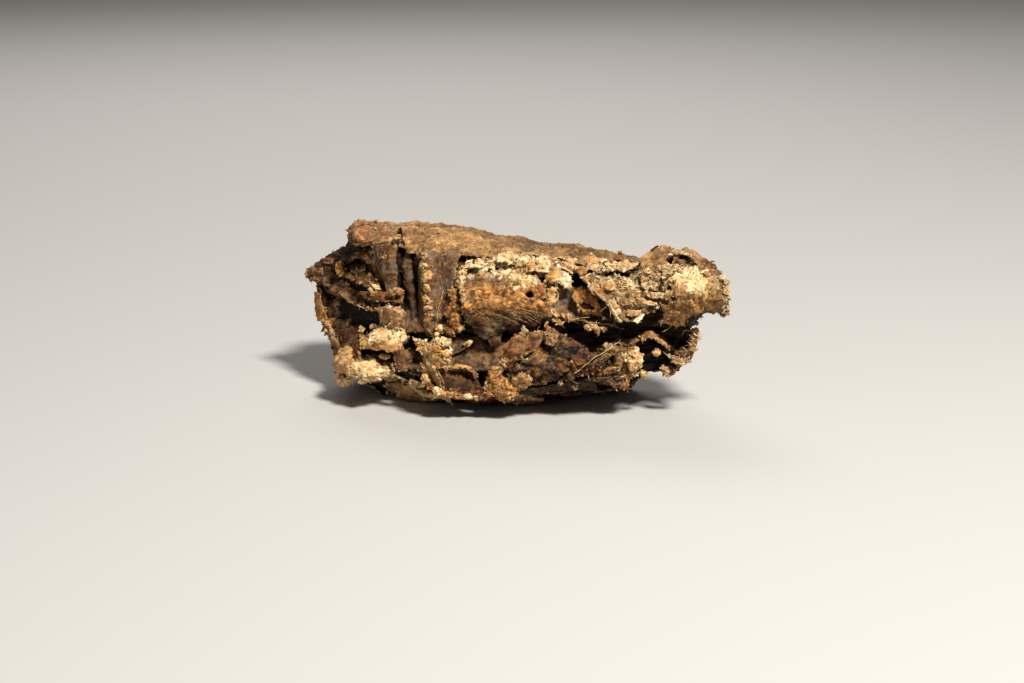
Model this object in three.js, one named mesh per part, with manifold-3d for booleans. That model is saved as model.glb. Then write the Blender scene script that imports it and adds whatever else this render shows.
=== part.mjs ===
// A layered golden-brown nugget: a matte, crumbly lump of thin crumpled layers
// that formed as one piece. It lies on its flattest side.
//
// Frame: millimetres, +X along the length, +Y away from the viewer, +Z up.
// The origin is the middle of the bounding box, at the resting height.
//
// The lump is a lofted body with the larger layers standing on it as thick
// plates: the top slab, the fanned pages at the left end, the hollow foot, the
// folded curtain, the scrolled curl in the middle, the flakes of the lower
// front and the rounded knob at the right end.

import * as THREE from 'three';
import { mergeVertices } from 'three/addons/utils/BufferGeometryUtils.js';
import Module from 'manifold-3d';

// ---------------------------------------------------------------- dimensions
const REST_CUT = 0.0;          // height of the flat that the nugget rests on
const BODY_AROUND = 26;        // facets round the lofted body
const BODY_ALONG = 20;         // facets along it
const BODY_CRUMPLE = 0.40;     // depth of the body's crumpling
const BODY_FOLD = 2.6;         // size of one crumple on the body
const PLATE_CRUMPLE = 0.16;    // depth of a layer's crumpling
const PLATE_FOLD = 1.7;        // size of one crumple on a layer
const PLATE_FACET = 2.1;       // facet size on a layer
const LUMP_CRUMPLE = 0.12;     // roughness of a lump, as part of its radius
const LUMP_DETAIL = 2;         // subdivision of a lump

// Sections of the body across X. Each is a closed loop of [Y, Z]:
// bottom front, low front, middle front, high front, top front, top back,
// high back, middle back, low back, bottom back, bottom middle.
const SECTIONS = [
  [-19.5, [[2, 4.5], [3, 6], [4.3, 7.5], [5.5, 9], [6, 10.3], [7.5, 11.0], [8.4, 10], [8.4, 7.8], [7.3, 5.5], [5.2, 4.2], [3.4, 4.0]]],
  [-17.5, [[-1.5, 2.6], [0.5, 4.6], [3, 7.4], [4.8, 9.6], [6, 11.8], [8.5, 12.6], [9.6, 11], [9.6, 7.5], [8.3, 4], [5, 2.2], [1.6, 2.0]]],
  [-15, [[-3, 2.8], [-1.5, 5], [1, 7.6], [2.5, 10.5], [4, 14], [9.3, 14.2], [10.2, 12], [10.3, 8], [9, 3.6], [5, 0.8], [0.2, 1.4]]],
  [-12, [[-3.5, 3.2], [-3, 5.5], [-1.8, 8], [0, 11], [1, 14.2], [9.2, 14.3], [10.3, 12], [10.5, 8], [9.2, 3.2], [5.6, -0.5], [-1, -0.1]]],
  [-9, [[-4.8, 1.9], [-5.5, 4.5], [-4, 8], [-2, 11.5], [0, 14], [8.5, 14.2], [9.8, 12], [10.2, 8], [8.8, 3], [5.4, -0.5], [-2, -0.5]]],
  [-6, [[-6, 1.9], [-6.2, 4.5], [-4.5, 8], [-2.5, 11.5], [-0.3, 13.9], [7.5, 14], [9, 12], [9.5, 8], [8.2, 3], [5, -0.5], [-2.2, -0.5]]],
  [-3, [[-6.5, 2], [-6.5, 4.5], [-5, 8], [-3.5, 11.5], [-1, 13.7], [6.3, 13.7], [8, 11.8], [8.6, 7.8], [7.5, 3], [4.5, -0.5], [-2.3, -0.5]]],
  [0, [[-6.5, 2.2], [-7, 4.5], [-5.2, 8], [-4, 11.5], [-1.2, 13.5], [5.1, 13.5], [7, 11.5], [7.8, 7.5], [6.8, 3], [4, -0.5], [-2.3, -0.5]]],
  [3, [[-6.5, 2.4], [-6.8, 4.5], [-4, 7.8], [-3.6, 11.2], [-1, 13.3], [4.1, 13.3], [6, 11.3], [7, 7.4], [6, 3], [3.5, -0.5], [-2.3, -0.5]]],
  [6, [[-6.3, 2.6], [-6.5, 4.6], [-3, 7.6], [-2.6, 11], [-1.2, 13.1], [3.3, 13.2], [5.2, 11.2], [6.2, 7.4], [5.2, 3], [2.8, -0.5], [-2.2, -0.5]]],
  [9, [[-5.8, 3], [-6, 4.8], [-3, 7.4], [-4, 10.8], [-2, 12.8], [2.3, 12.9], [4.3, 11], [5.2, 7.4], [4.2, 3], [2, -0.4], [-2, -0.4]]],
  [12, [[-5.2, 3.4], [-5.4, 5], [-3.6, 7.4], [-4.6, 10.6], [-2.6, 12.5], [1.1, 12.8], [3.2, 11], [4, 7.5], [3, 3.5], [1, 0.6], [-2, 0.9]]],
  [15, [[-4.6, 4], [-4.8, 5.6], [-3.6, 7.8], [-4.2, 10.5], [-4, 13], [-0.2, 13.8], [1.5, 11.5], [2.2, 8], [1.5, 5], [0, 3], [-2.4, 3]]],
  [17.5, [[-4.6, 5.2], [-4.6, 6.5], [-4.2, 8], [-4.8, 10], [-5, 12.8], [-2, 13.6], [-0.5, 11.8], [0, 9], [-0.6, 7], [-1.6, 5.6], [-3, 5]]],
];
const END_LEFT = { out: 0.8, keep: 0.45 };   // how the loft closes at the ends
const END_RIGHT = { out: 1.0, keep: 0.5 };

// The layers: each net is rows of [X, Y, Z] over the middle of the layer.
const PLATES = {
  top_slab: {
    thick: 1.1,
    net: [
      [[-17.2, 9.5, 15.1], [-13.6, 10.0, 15.6], [-8.9, 9.0, 15.4], [-3.8, 7.5, 15.0], [1.8, 5.0, 14.4], [7.3, 3.0, 14.2], [12.2, 0.5, 13.4]],
      [[-17.0, 5.6, 15.0], [-13.4, 5.6, 15.3], [-8.8, 4.0, 15.2], [-3.7, 3.0, 14.9], [1.8, 2.0, 14.4], [7.3, 1.0, 14.0], [12.2, -0.6, 13.5]],
      [[-16.4, 2.0, 15.0], [-13.1, 1.0, 15.1], [-8.6, -0.6, 14.9], [-3.6, -1.0, 14.7], [1.8, -1.0, 14.4], [7.2, -1.4, 13.9], [12.1, -2.0, 13.5]],
    ],
  },
  left_shoulder: {
    thick: 1.0,
    net: [
      [[-16.9, 8.5, 14.1], [-15.9, 5.0, 14.1], [-14.8, 2.6, 14.5]],
      [[-18.6, 8.0, 12.8], [-17.4, 5.5, 12.9], [-16.5, 3.0, 12.9]],
      [[-20.6, 8.3, 11.7], [-19.3, 6.5, 11.7], [-17.8, 4.4, 12.0]],
    ],
  },
  page_upper: {
    thick: 0.8,
    net: [
      [[-17.8, 6.0, 11.5], [-15.8, 3.2, 12.1], [-13.8, 0.6, 12.4], [-12.3, -0.5, 12.2]],
      [[-18.3, 5.2, 10.6], [-16.6, 2.5, 10.7], [-14.7, 0.0, 10.7], [-12.6, -2.4, 10.9]],
    ],
  },
  page_long: {
    thick: 0.8,
    net: [
      [[-21.3, 8.0, 10.8], [-19.1, 6.0, 10.9], [-16.8, 3.4, 10.4], [-14.2, 0.2, 10.1], [-11.8, -1.8, 10.0]],
      [[-21.6, 7.0, 10.0], [-19.9, 5.5, 9.8], [-17.5, 2.5, 9.2], [-15.4, -0.5, 9.2], [-13.3, -3.0, 9.2]],
    ],
  },
  page_brown: {
    thick: 0.7,
    net: [
      [[-15.7, 1.2, 10.4], [-13.6, -0.8, 10.8], [-11.3, -2.0, 10.9]],
      [[-15.3, 0.0, 9.8], [-13.3, -2.2, 9.9], [-11.4, -3.6, 10.1]],
    ],
  },
  left_wall: {
    thick: 1.3,
    net: [
      [[-21.2, 6.5, 9.1], [-20.0, 4.5, 9.5], [-18.3, 2.8, 8.7], [-16.5, 1.2, 7.7]],
      [[-21.0, 6.0, 7.2], [-19.7, 3.5, 7.6], [-18.0, 1.8, 7.4], [-15.5, -1.0, 7.2]],
      [[-20.2, 5.5, 5.5], [-18.9, 3.0, 6.0], [-17.2, 0.0, 6.3], [-15.0, -3.0, 6.6]],
      [[-19.3, 4.0, 3.9], [-18.2, 1.0, 4.7], [-16.8, -1.5, 5.4], [-15.2, -4.2, 6.1]],
      [[-19.2, 3.0, 2.8], [-18.1, 0.0, 3.7], [-17.0, -3.0, 4.5], [-15.6, -5.0, 5.0]],
      [[-18.6, 1.0, 1.9], [-17.8, -2.0, 2.6], [-16.7, -4.5, 3.5], [-15.1, -6.2, 4.2]],
      [[-18.4, -1.0, 1.0], [-17.8, -2.8, 1.6], [-16.6, -4.5, 2.5], [-15.4, -5.8, 3.3]],
    ],
  },
  mouth_lip: {
    thick: 0.8,
    net: [
      [[-15.1, -2.5, 6.6], [-13.3, -3.4, 6.9], [-11.2, -4.4, 6.9]],
      [[-15.4, -5.0, 6.2], [-13.6, -6.0, 6.2], [-11.5, -6.4, 6.2]],
    ],
  },
  curtain: {
    thick: 1.3,
    net: [
      [[-14.5, 2.0, 14.7], [-13.3, 1.0, 14.9], [-12.3, 0.0, 15.3], [-11.6, 2.4, 15.2], [-10.6, 1.0, 15.5], [-9.7, 0.5, 14.9], [-8.8, -1.5, 15.0], [-7.4, -1.0, 14.8], [-5.6, -1.5, 14.9]],
      [[-13.6, 1.0, 12.9], [-12.9, -0.5, 13.0], [-12.2, -1.0, 13.2], [-11.8, 1.4, 12.6], [-10.7, -0.8, 13.1], [-9.8, 0.0, 12.9], [-8.8, -3.4, 13.7], [-7.5, -2.5, 13.5], [-5.8, -3.5, 13.5]],
      [[-12.8, -0.5, 11.2], [-12.3, -1.5, 11.2], [-11.9, -1.0, 10.9], [-11.4, 0.0, 10.7], [-10.4, -2.0, 11.2], [-9.6, -1.5, 11.0], [-8.7, -4.4, 11.7], [-7.3, -4.0, 11.6], [-5.8, -5.0, 11.7]],
      [[-12.4, -1.5, 9.5], [-11.9, -2.5, 9.5], [-11.3, -2.5, 9.2], [-10.8, -2.5, 9.1], [-10.1, -3.2, 9.2], [-9.4, -3.5, 9.1], [-8.5, -5.2, 9.5], [-7.1, -5.2, 9.7], [-5.9, -6.0, 9.6]],
      [[-11.7, -3.5, 7.5], [-11.3, -4.0, 7.4], [-10.8, -4.5, 7.3], [-10.3, -5.0, 7.5], [-9.7, -5.3, 7.5], [-9.0, -5.8, 7.7], [-8.1, -6.4, 7.6], [-6.9, -6.7, 7.5], [-5.7, -7.0, 7.6]],
    ],
  },
  curl: {
    thick: 1.2,
    net: [
      [[-5.4, -3.0, 13.4], [-3.6, -2.5, 14.0], [-1.7, -2.3, 14.5], [0.3, -2.0, 14.6], [2.2, -2.5, 14.2], [4.0, -3.0, 14.1], [4.8, -4.0, 13.2]],
      [[-5.7, -5.5, 12.5], [-4.1, -5.0, 12.9], [-2.0, -4.8, 13.0], [0.1, -4.8, 13.1], [2.0, -5.0, 12.9], [3.4, -5.0, 12.5], [4.2, -5.0, 12.1]],
      [[-5.5, -7.0, 11.2], [-4.0, -7.0, 11.4], [-1.9, -7.0, 11.5], [0.1, -7.0, 11.4], [1.7, -6.8, 11.3], [2.8, -6.3, 11.0], [3.4, -5.5, 10.6]],
      [[-5.2, -7.5, 9.7], [-3.8, -8.0, 9.8], [-1.9, -8.0, 9.8], [-0.0, -8.0, 9.9], [1.7, -7.6, 9.9], [2.7, -7.0, 9.8], [3.3, -6.3, 9.5]],
      [[-4.4, -7.3, 8.3], [-3.3, -8.0, 7.9], [-1.9, -8.0, 8.3], [-0.1, -7.6, 8.6], [1.5, -7.0, 8.6], [2.5, -6.5, 8.7], [3.2, -6.0, 8.9]],
      [[-3.6, -6.0, 7.7], [-2.8, -6.0, 7.6], [-1.7, -6.0, 8.0], [-0.1, -5.8, 8.4], [1.4, -5.3, 8.4], [2.4, -5.0, 8.6], [3.0, -4.8, 8.8]],
    ],
  },
  grey_face: {
    thick: 1.1,
    net: [
      [[-6.9, -5.6, 7.6], [-5.1, -5.6, 7.5], [-3.1, -5.6, 7.3], [-1.0, -5.8, 7.3]],
      [[-6.7, -7.0, 6.0], [-5.0, -7.0, 5.9], [-3.1, -7.0, 5.9], [-1.2, -7.4, 6.0]],
      [[-6.7, -8.4, 4.6], [-4.9, -8.3, 4.5], [-3.1, -8.2, 4.5], [-1.5, -8.6, 4.8]],
    ],
  },
  crumb_flake: {
    thick: 1.0,
    net: [
      [[-9.6, -7.0, 7.2], [-7.9, -7.5, 7.5], [-6.2, -7.4, 7.2]],
      [[-8.9, -8.4, 6.4], [-7.6, -9.0, 6.6], [-6.3, -8.5, 6.6]],
      [[-8.2, -8.8, 5.6], [-7.3, -9.0, 5.3], [-6.6, -8.8, 5.7]],
    ],
  },
  bowl: {
    thick: 0.9,
    net: [
      [[-8.6, -8.5, 6.0], [-6.7, -8.0, 5.2], [-4.8, -7.5, 4.8], [-2.9, -8.0, 4.6]],
      [[-8.1, -9.0, 4.7], [-6.3, -8.2, 4.1], [-4.6, -7.6, 3.7], [-2.7, -8.5, 3.8]],
      [[-7.5, -9.3, 3.5], [-6.0, -9.0, 3.2], [-4.4, -8.8, 3.1], [-2.7, -9.4, 3.0]],
      [[-6.9, -8.5, 2.3], [-5.7, -8.5, 2.2], [-4.3, -8.5, 2.2], [-2.7, -8.8, 2.2]],
    ],
  },
  low_flake_a: {
    thick: 0.8,
    net: [
      [[-10.2, -3.6, 3.2], [-9.0, -4.2, 3.0], [-7.6, -5.0, 2.8], [-6.0, -5.5, 2.3]],
      [[-10.9, -6.0, 2.8], [-9.8, -7.0, 2.3], [-8.3, -7.8, 2.0], [-6.4, -8.0, 1.7]],
    ],
  },
  low_flake_b: {
    thick: 0.8,
    net: [
      [[-10.4, -3.6, 4.7], [-9.1, -4.6, 4.7], [-7.7, -5.6, 4.6]],
      [[-10.6, -6.5, 3.8], [-9.4, -7.5, 3.5], [-8.0, -8.3, 3.3]],
    ],
  },
  lower_sheet: {
    thick: 0.9,
    net: [
      [[-0.4, -8.0, 7.9], [1.4, -7.8, 8.4], [3.4, -7.0, 8.5], [5.3, -7.5, 7.3], [7.2, -8.0, 6.7], [9.1, -8.5, 7.7], [10.5, -8.5, 7.4]],
      [[-1.0, -8.8, 6.9], [1.0, -8.8, 6.9], [3.2, -8.6, 6.8], [5.3, -8.6, 6.5], [7.2, -8.8, 6.2], [8.5, -9.0, 6.5], [9.5, -9.0, 6.9]],
      [[-1.4, -9.2, 5.6], [0.8, -9.4, 5.7], [3.1, -9.4, 5.5], [5.2, -9.3, 5.3], [6.8, -9.3, 5.3], [7.8, -9.4, 6.0], [8.5, -9.3, 6.3]],
      [[0.3, -9.1, 3.9], [1.6, -9.1, 3.8], [3.4, -9.0, 3.8], [4.8, -9.0, 4.1], [6.0, -9.1, 4.5], [7.0, -9.1, 5.0], [8.0, -9.0, 5.6]],
    ],
  },
  saddle_flake: {
    thick: 1.0,
    net: [
      [[5.8, -4.0, 13.2], [7.8, -4.5, 13.0], [10.0, -5.0, 13.1], [12.4, -5.5, 13.2], [14.6, -7.0, 13.0]],
      [[6.4, -5.5, 12.7], [8.0, -6.5, 12.2], [10.1, -7.0, 12.1], [12.3, -7.2, 12.1], [14.5, -7.8, 12.0]],
      [[7.2, -6.3, 12.2], [8.7, -7.5, 11.2], [10.2, -8.0, 10.8], [12.1, -8.0, 11.0], [14.1, -8.2, 11.0]],
      [[8.0, -6.8, 11.6], [9.3, -7.8, 10.5], [10.2, -8.4, 9.6], [11.8, -8.4, 9.8], [13.4, -8.2, 10.6]],
    ],
  },
  orange_flake: {
    thick: 0.8,
    net: [
      [[5.4, -5.0, 11.9], [6.6, -5.0, 12.2], [7.4, -5.0, 11.8]],
      [[5.9, -6.0, 10.9], [7.0, -6.2, 10.9], [8.0, -6.2, 10.7]],
      [[6.4, -6.0, 10.0], [7.4, -6.3, 9.8], [8.3, -6.2, 9.6]],
    ],
  },
  top_flake_a: {
    thick: 0.8,
    net: [
      [[4.2, -1.0, 13.8], [6.7, -1.4, 13.7], [9.3, -1.8, 13.7], [11.9, -2.2, 13.8]],
      [[4.7, -4.0, 13.7], [7.1, -4.2, 13.6], [9.2, -4.6, 13.4], [11.4, -4.8, 13.5]],
    ],
  },
  arc_flake: {
    thick: 0.8,
    net: [
      [[12.1, -3.4, 6.7], [13.2, -3.4, 6.9], [14.4, -3.4, 6.6], [15.9, -3.2, 5.9]],
      [[12.0, -8.0, 7.4], [12.9, -8.5, 7.8], [13.8, -8.5, 7.3], [14.9, -8.2, 6.5]],
    ],
  },
  right_upright: {
    thick: 0.8,
    net: [
      [[16.2, -3.4, 7.7], [17.0, -5.4, 8.2], [17.4, -7.4, 8.8]],
      [[16.0, -3.4, 6.6], [17.1, -5.6, 7.2], [17.6, -8.0, 7.9]],
      [[15.7, -3.6, 5.5], [16.6, -6.0, 6.1], [17.2, -8.3, 6.8]],
      [[14.9, -3.8, 4.3], [16.1, -6.0, 4.8], [16.8, -8.2, 5.4]],
    ],
  },
  right_cup: {
    thick: 0.8,
    net: [
      [[14.1, -3.6, 5.5], [15.2, -4.0, 5.4], [16.6, -4.6, 5.5]],
      [[14.3, -6.0, 5.5], [15.6, -6.8, 5.4], [17.0, -7.4, 5.8]],
      [[14.6, -7.4, 5.4], [15.7, -8.3, 5.2], [16.9, -8.3, 5.5]],
      [[14.0, -6.8, 4.4], [14.9, -7.8, 4.1], [16.3, -7.9, 4.6]],
    ],
  },
  low_right: {
    thick: 0.9,
    net: [
      [[8.5, -4.6, 4.5], [9.9, -4.6, 5.0], [11.3, -4.6, 5.5]],
      [[8.1, -7.0, 4.5], [9.5, -7.2, 5.0], [10.9, -7.2, 5.4]],
      [[7.4, -8.0, 3.9], [9.2, -8.6, 4.2], [11.1, -8.6, 4.4]],
      [[8.4, -7.4, 3.0], [9.8, -8.2, 2.9], [11.0, -8.0, 3.0]],
    ],
  },
  belly: {
    thick: 1.0,
    net: [
      [[-1.7, -9.0, 2.7], [1.2, -9.0, 3.3], [4.1, -8.8, 3.6], [7.0, -8.2, 3.9]],
      [[-2.8, -8.8, 2.2], [0.8, -8.4, 2.5], [4.2, -8.0, 2.6], [7.7, -7.4, 2.8]],
      [[-4.7, -3.5, 0.8], [-0.2, -3.5, 0.8], [4.2, -3.5, 0.9], [8.2, -3.5, 1.1]],
    ],
  },
};

// The lumps: centre, radii and tilt about Y in degrees.
const LUMPS = {
  knob: { at: [16.4, -5.4, 12.6], r: [3.7, 4.0, 2.8], tilt: -18 },
  knob_crown: { at: [14.7, -4.2, 14.2], r: [2.4, 2.6, 1.7], tilt: -8 },
  knob_end: { at: [18.7, -6.6, 11.9], r: [1.7, 2.4, 1.9], tilt: 0 },
  knob_fringe: { at: [15.2, -6.6, 10.1], r: [1.5, 2.0, 1.4], tilt: 40 },
  foot: { at: [-14.9, -3.6, 3.7], r: [2.7, 2.8, 1.25], tilt: 8 },
  foot_toe: { at: [-17.5, -2.6, 2.3], r: [1.0, 1.3, 1.0], tilt: 25 },
  cream_lump: { at: [-12.8, -4.0, 7.0], r: [1.8, 1.7, 0.95], tilt: 0 },
  left_tip: { at: [-20.5, 6.6, 10.4], r: [1.2, 1.8, 1.05], tilt: -10 },
  slab_corner: { at: [-16.0, 6.0, 15.3], r: [1.3, 3.4, 0.9], tilt: 0 },
  wedge_flake: { at: [-12.4, -3.6, 8.8], r: [1.35, 1.3, 1.15], tilt: 30 },
  gold_cluster: { at: [-0.9, -8.2, 3.7], r: [2.3, 1.9, 1.65], tilt: 10 },
  side_cluster: { at: [11.3, -6.9, 5.2], r: [1.0, 2.2, 1.3], tilt: 0 },
  bead: { at: [13.5, -6.4, 6.0], r: [0.5, 2.2, 0.5], tilt: 0 },
  toe_bit: { at: [14.7, -6.2, 4.2], r: [0.7, 2.0, 0.65], tilt: 0 },
};

// ------------------------------------------------------------------- shapes
function hash(x, y, z, seed) {
  let h = Math.imul(x, 374761393) + Math.imul(y, 668265263) + Math.imul(z, 1440662683) + Math.imul(seed, 362437);
  h = Math.imul(h ^ (h >>> 13), 1274126177);
  h = Math.imul(h ^ (h >>> 15), 2246822519);
  return (((h ^ (h >>> 16)) >>> 0) / 4294967295) * 2 - 1;
}

// Smooth value noise in -1..1.
function noise(p, size, seed) {
  const q = [p.x / size, p.y / size, p.z / size];
  const i = q.map(Math.floor);
  const f = q.map((v, k) => v - i[k]).map((t) => t * t * (3 - 2 * t));
  let sum = 0;
  for (let a = 0; a < 8; a++) {
    const d = [a & 1, (a >> 1) & 1, (a >> 2) & 1];
    const w = d.reduce((s, v, k) => s * (v ? f[k] : 1 - f[k]), 1);
    sum += w * hash(i[0] + d[0], i[1] + d[1], i[2] + d[2], seed);
  }
  return sum;
}

function catmull(a, b, c, d, t) {
  return a.map((_, k) => 0.5 * (2 * b[k] + (c[k] - a[k]) * t
    + (2 * a[k] - 5 * b[k] + 4 * c[k] - d[k]) * t * t
    + (3 * b[k] - a[k] - 3 * c[k] + d[k]) * t * t * t));
}

// A point on an open row of control points, for s from 0 to 1.
function along(row, s) {
  const n = row.length - 1;
  const x = Math.min(Math.max(s, 0), 1) * n;
  const i = Math.min(Math.floor(x), n - 1);
  const first = (k) => row[0].map((v, j) => 2 * v - row[1][j]);
  const last = (k) => row[n].map((v, j) => 2 * v - row[n - 1][j]);
  const at = (k) => (k < 0 ? first(k) : k > n ? last(k) : row[k]);
  return catmull(at(i - 1), at(i), at(i + 1), at(i + 2), x - i);
}

function netPoint(net, u, v) {
  return new THREE.Vector3(...along(net.map((row) => along(row, u)), v));
}

function netNormal(net, u, v) {
  const e = 0.02;
  const du = netPoint(net, Math.min(u + e, 1), v).sub(netPoint(net, Math.max(u - e, 0), v));
  const dv = netPoint(net, u, Math.min(v + e, 1)).sub(netPoint(net, u, Math.max(v - e, 0)));
  return du.cross(dv).normalize();
}

// A closed crumpled layer: a flat box bent onto its net.
function plate({ thick, net }, seed) {
  let wide = 0;
  let high = 0;
  for (let k = 0; k < 6; k++) {
    wide += netPoint(net, k / 6, 0.5).distanceTo(netPoint(net, (k + 1) / 6, 0.5));
    high += netPoint(net, 0.5, k / 6).distanceTo(netPoint(net, 0.5, (k + 1) / 6));
  }
  const nu = Math.max(2, Math.round(wide / PLATE_FACET));
  const nv = Math.max(2, Math.round(high / PLATE_FACET));
  const geometry = new THREE.BoxGeometry(1, 1, 1, nu, nv, 1);
  const at = geometry.attributes.position;
  for (let k = 0; k < at.count; k++) {
    const u = at.getX(k) + 0.5;
    const v = at.getY(k) + 0.5;
    const p = netPoint(net, u, v);
    const n = netNormal(net, u, v);
    const bump = PLATE_CRUMPLE * noise(p, PLATE_FOLD, seed);
    p.addScaledVector(n, at.getZ(k) * thick + bump);
    at.setXYZ(k, p.x, p.y, p.z);
  }
  return geometry;
}

// A closed rough lump.
function lump({ at: centre, r, tilt }, seed) {
  const geometry = new THREE.IcosahedronGeometry(1, LUMP_DETAIL);
  const at = geometry.attributes.position;
  const turn = new THREE.Matrix4().makeRotationY(THREE.MathUtils.degToRad(tilt));
  for (let k = 0; k < at.count; k++) {
    const p = new THREE.Vector3().fromBufferAttribute(at, k).normalize();
    const grow = 1 + LUMP_CRUMPLE * (noise(p, 0.55, seed) + 0.6 * noise(p, 0.9, seed + 7));
    p.multiplyScalar(grow).multiply(new THREE.Vector3(...r)).applyMatrix4(turn).add(new THREE.Vector3(...centre));
    at.setXYZ(k, p.x, p.y, p.z);
  }
  return geometry;
}

// A point on a closed loop, for s from 0 to 1.
function round(loop, s) {
  const n = loop.length;
  const x = (((s % 1) + 1) % 1) * n;
  const i = Math.floor(x);
  const at = (k) => loop[((k % n) + n) % n];
  return catmull(at(i - 1), at(i), at(i + 1), at(i + 2), x - i);
}

// The lofted body: a capped cylinder whose rings take the shape of the sections.
function body() {
  const middle = (loop) => loop.reduce((s, p) => [s[0] + p[0] / loop.length, s[1] + p[1] / loop.length], [0, 0]);
  const shrink = (loop, keep) => {
    const m = middle(loop);
    return loop.map((p) => [m[0] + keep * (p[0] - m[0]), m[1] + keep * (p[1] - m[1])]);
  };
  const first = SECTIONS[0];
  const last = SECTIONS[SECTIONS.length - 1];
  const all = [
    [first[0] - END_LEFT.out, shrink(first[1], END_LEFT.keep)],
    ...SECTIONS,
    [last[0] + END_RIGHT.out, shrink(last[1], END_RIGHT.keep)],
  ];
  const n = all.length - 1;
  const section = (h) => {
    const x = Math.min(Math.max(h, 0), 1) * n;
    const i = Math.min(Math.floor(x), n - 1);
    const t = x - i;
    const at = (k) => all[Math.min(Math.max(k, 0), n)];
    const xs = catmull([at(i - 1)[0]], [at(i)[0]], [at(i + 1)[0]], [at(i + 2)[0]], t)[0];
    const loop = at(i)[1].map((_, k) => catmull(at(i - 1)[1][k], at(i)[1][k], at(i + 1)[1][k], at(i + 2)[1][k], t));
    return { x: xs, loop };
  };
  const geometry = new THREE.CylinderGeometry(1, 1, 1, BODY_AROUND, BODY_ALONG, false);
  const at = geometry.attributes.position;
  for (let k = 0; k < at.count; k++) {
    const { x, loop } = section(at.getY(k) + 0.5);
    const radius = Math.min(1, Math.hypot(at.getX(k), at.getZ(k)));
    const turn = Math.round((Math.atan2(at.getX(k), at.getZ(k)) / (2 * Math.PI)) * BODY_AROUND) / BODY_AROUND;
    const m = middle(loop);
    const rim = round(loop, turn);
    const p = new THREE.Vector3(x, m[0] + radius * (rim[0] - m[0]), m[1] + radius * (rim[1] - m[1]));
    const away = new THREE.Vector3(0, rim[0] - m[0], rim[1] - m[1]).normalize();
    if (radius > 0.5) p.addScaledVector(away, BODY_CRUMPLE * noise(p, BODY_FOLD, 3) * Math.min(1, Math.max(0, p.z / 2)));
    at.setXYZ(k, p.x, p.y, p.z);
  }
  return geometry;
}

// ------------------------------------------------------------------- solids
const wasm = await Module();
wasm.setup();

function signedVolume(vertices, triangles) {
  let sum = 0;
  for (let k = 0; k < triangles.length; k += 3) {
    const [a, b, c] = [0, 1, 2].map((j) => new THREE.Vector3().fromArray(vertices, 3 * triangles[k + j]));
    sum += a.dot(b.cross(c)) / 6;
  }
  return sum;
}

function solid(source) {
  const geometry = source.clone();
  geometry.deleteAttribute('normal');
  geometry.deleteAttribute('uv');
  const merged = mergeVertices(geometry, 1e-4);
  const vertProperties = new Float32Array(merged.attributes.position.array);
  const triVerts = new Uint32Array(merged.index.array);
  if (signedVolume(vertProperties, triVerts) < 0) {
    for (let k = 0; k < triVerts.length; k += 3) [triVerts[k + 1], triVerts[k + 2]] = [triVerts[k + 2], triVerts[k + 1]];
  }
  return new wasm.Manifold(new wasm.Mesh({ numProp: 3, vertProperties, triVerts }));
}

// The largest connected shell of the joined solid, so that no hollow is sealed.
function outerShell(mesh) {
  const { vertProperties, triVerts, numProp } = mesh;
  const count = vertProperties.length / numProp;
  const parent = Array.from({ length: count }, (_, k) => k);
  const find = (k) => {
    while (parent[k] !== k) { parent[k] = parent[parent[k]]; k = parent[k]; }
    return k;
  };
  const key = new Map();
  for (let k = 0; k < count; k++) {
    const name = [0, 1, 2].map((j) => vertProperties[k * numProp + j]).join(',');
    if (key.has(name)) parent[find(k)] = find(key.get(name)); else key.set(name, k);
  }
  for (let k = 0; k < triVerts.length; k += 3) {
    parent[find(triVerts[k + 1])] = find(triVerts[k]);
    parent[find(triVerts[k + 2])] = find(triVerts[k]);
  }
  const groups = new Map();
  for (let k = 0; k < triVerts.length; k += 3) {
    const g = find(triVerts[k]);
    if (!groups.has(g)) groups.set(g, []);
    groups.get(g).push(triVerts[k], triVerts[k + 1], triVerts[k + 2]);
  }
  const shells = [...groups.values()].sort((a, b) => signedVolume(vertProperties, b) - signedVolume(vertProperties, a));
  const geometry = new THREE.BufferGeometry();
  geometry.setAttribute('position', new THREE.BufferAttribute(new Float32Array(vertProperties), 3));
  geometry.setIndex(shells[0]);
  return geometry;
}

let joined = solid(body());
let seed = 11;
for (const one of Object.values(PLATES)) joined = joined.add(solid(plate(one, seed++)));
for (const one of Object.values(LUMPS)) joined = joined.add(solid(lump(one, seed++)));

// The resting flat: everything below it is cut away.
const below = new THREE.BoxGeometry(80, 80, 20);
below.translate(0, 0, REST_CUT - 10);
joined = joined.subtract(solid(below));

const shape = outerShell(joined.getMesh());
shape.deleteAttribute('normal');
const used = mergeVertices(shape.toNonIndexed(), 1e-5);
used.computeBoundingBox();
const box = used.boundingBox;
used.translate(-(box.min.x + box.max.x) / 2, -(box.min.y + box.max.y) / 2, -box.min.z);
used.computeVertexNormals();

const stone = new THREE.MeshStandardMaterial({ color: 0x9a6c3c, roughness: 0.85, metalness: 0.0 });
const nugget = new THREE.Mesh(used, stone);
nugget.name = 'nugget';

const part = new THREE.Group();
part.add(nugget);

export default part;
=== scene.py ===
import math
import bpy
import numpy as np
from mathutils import Matrix, Vector


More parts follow.
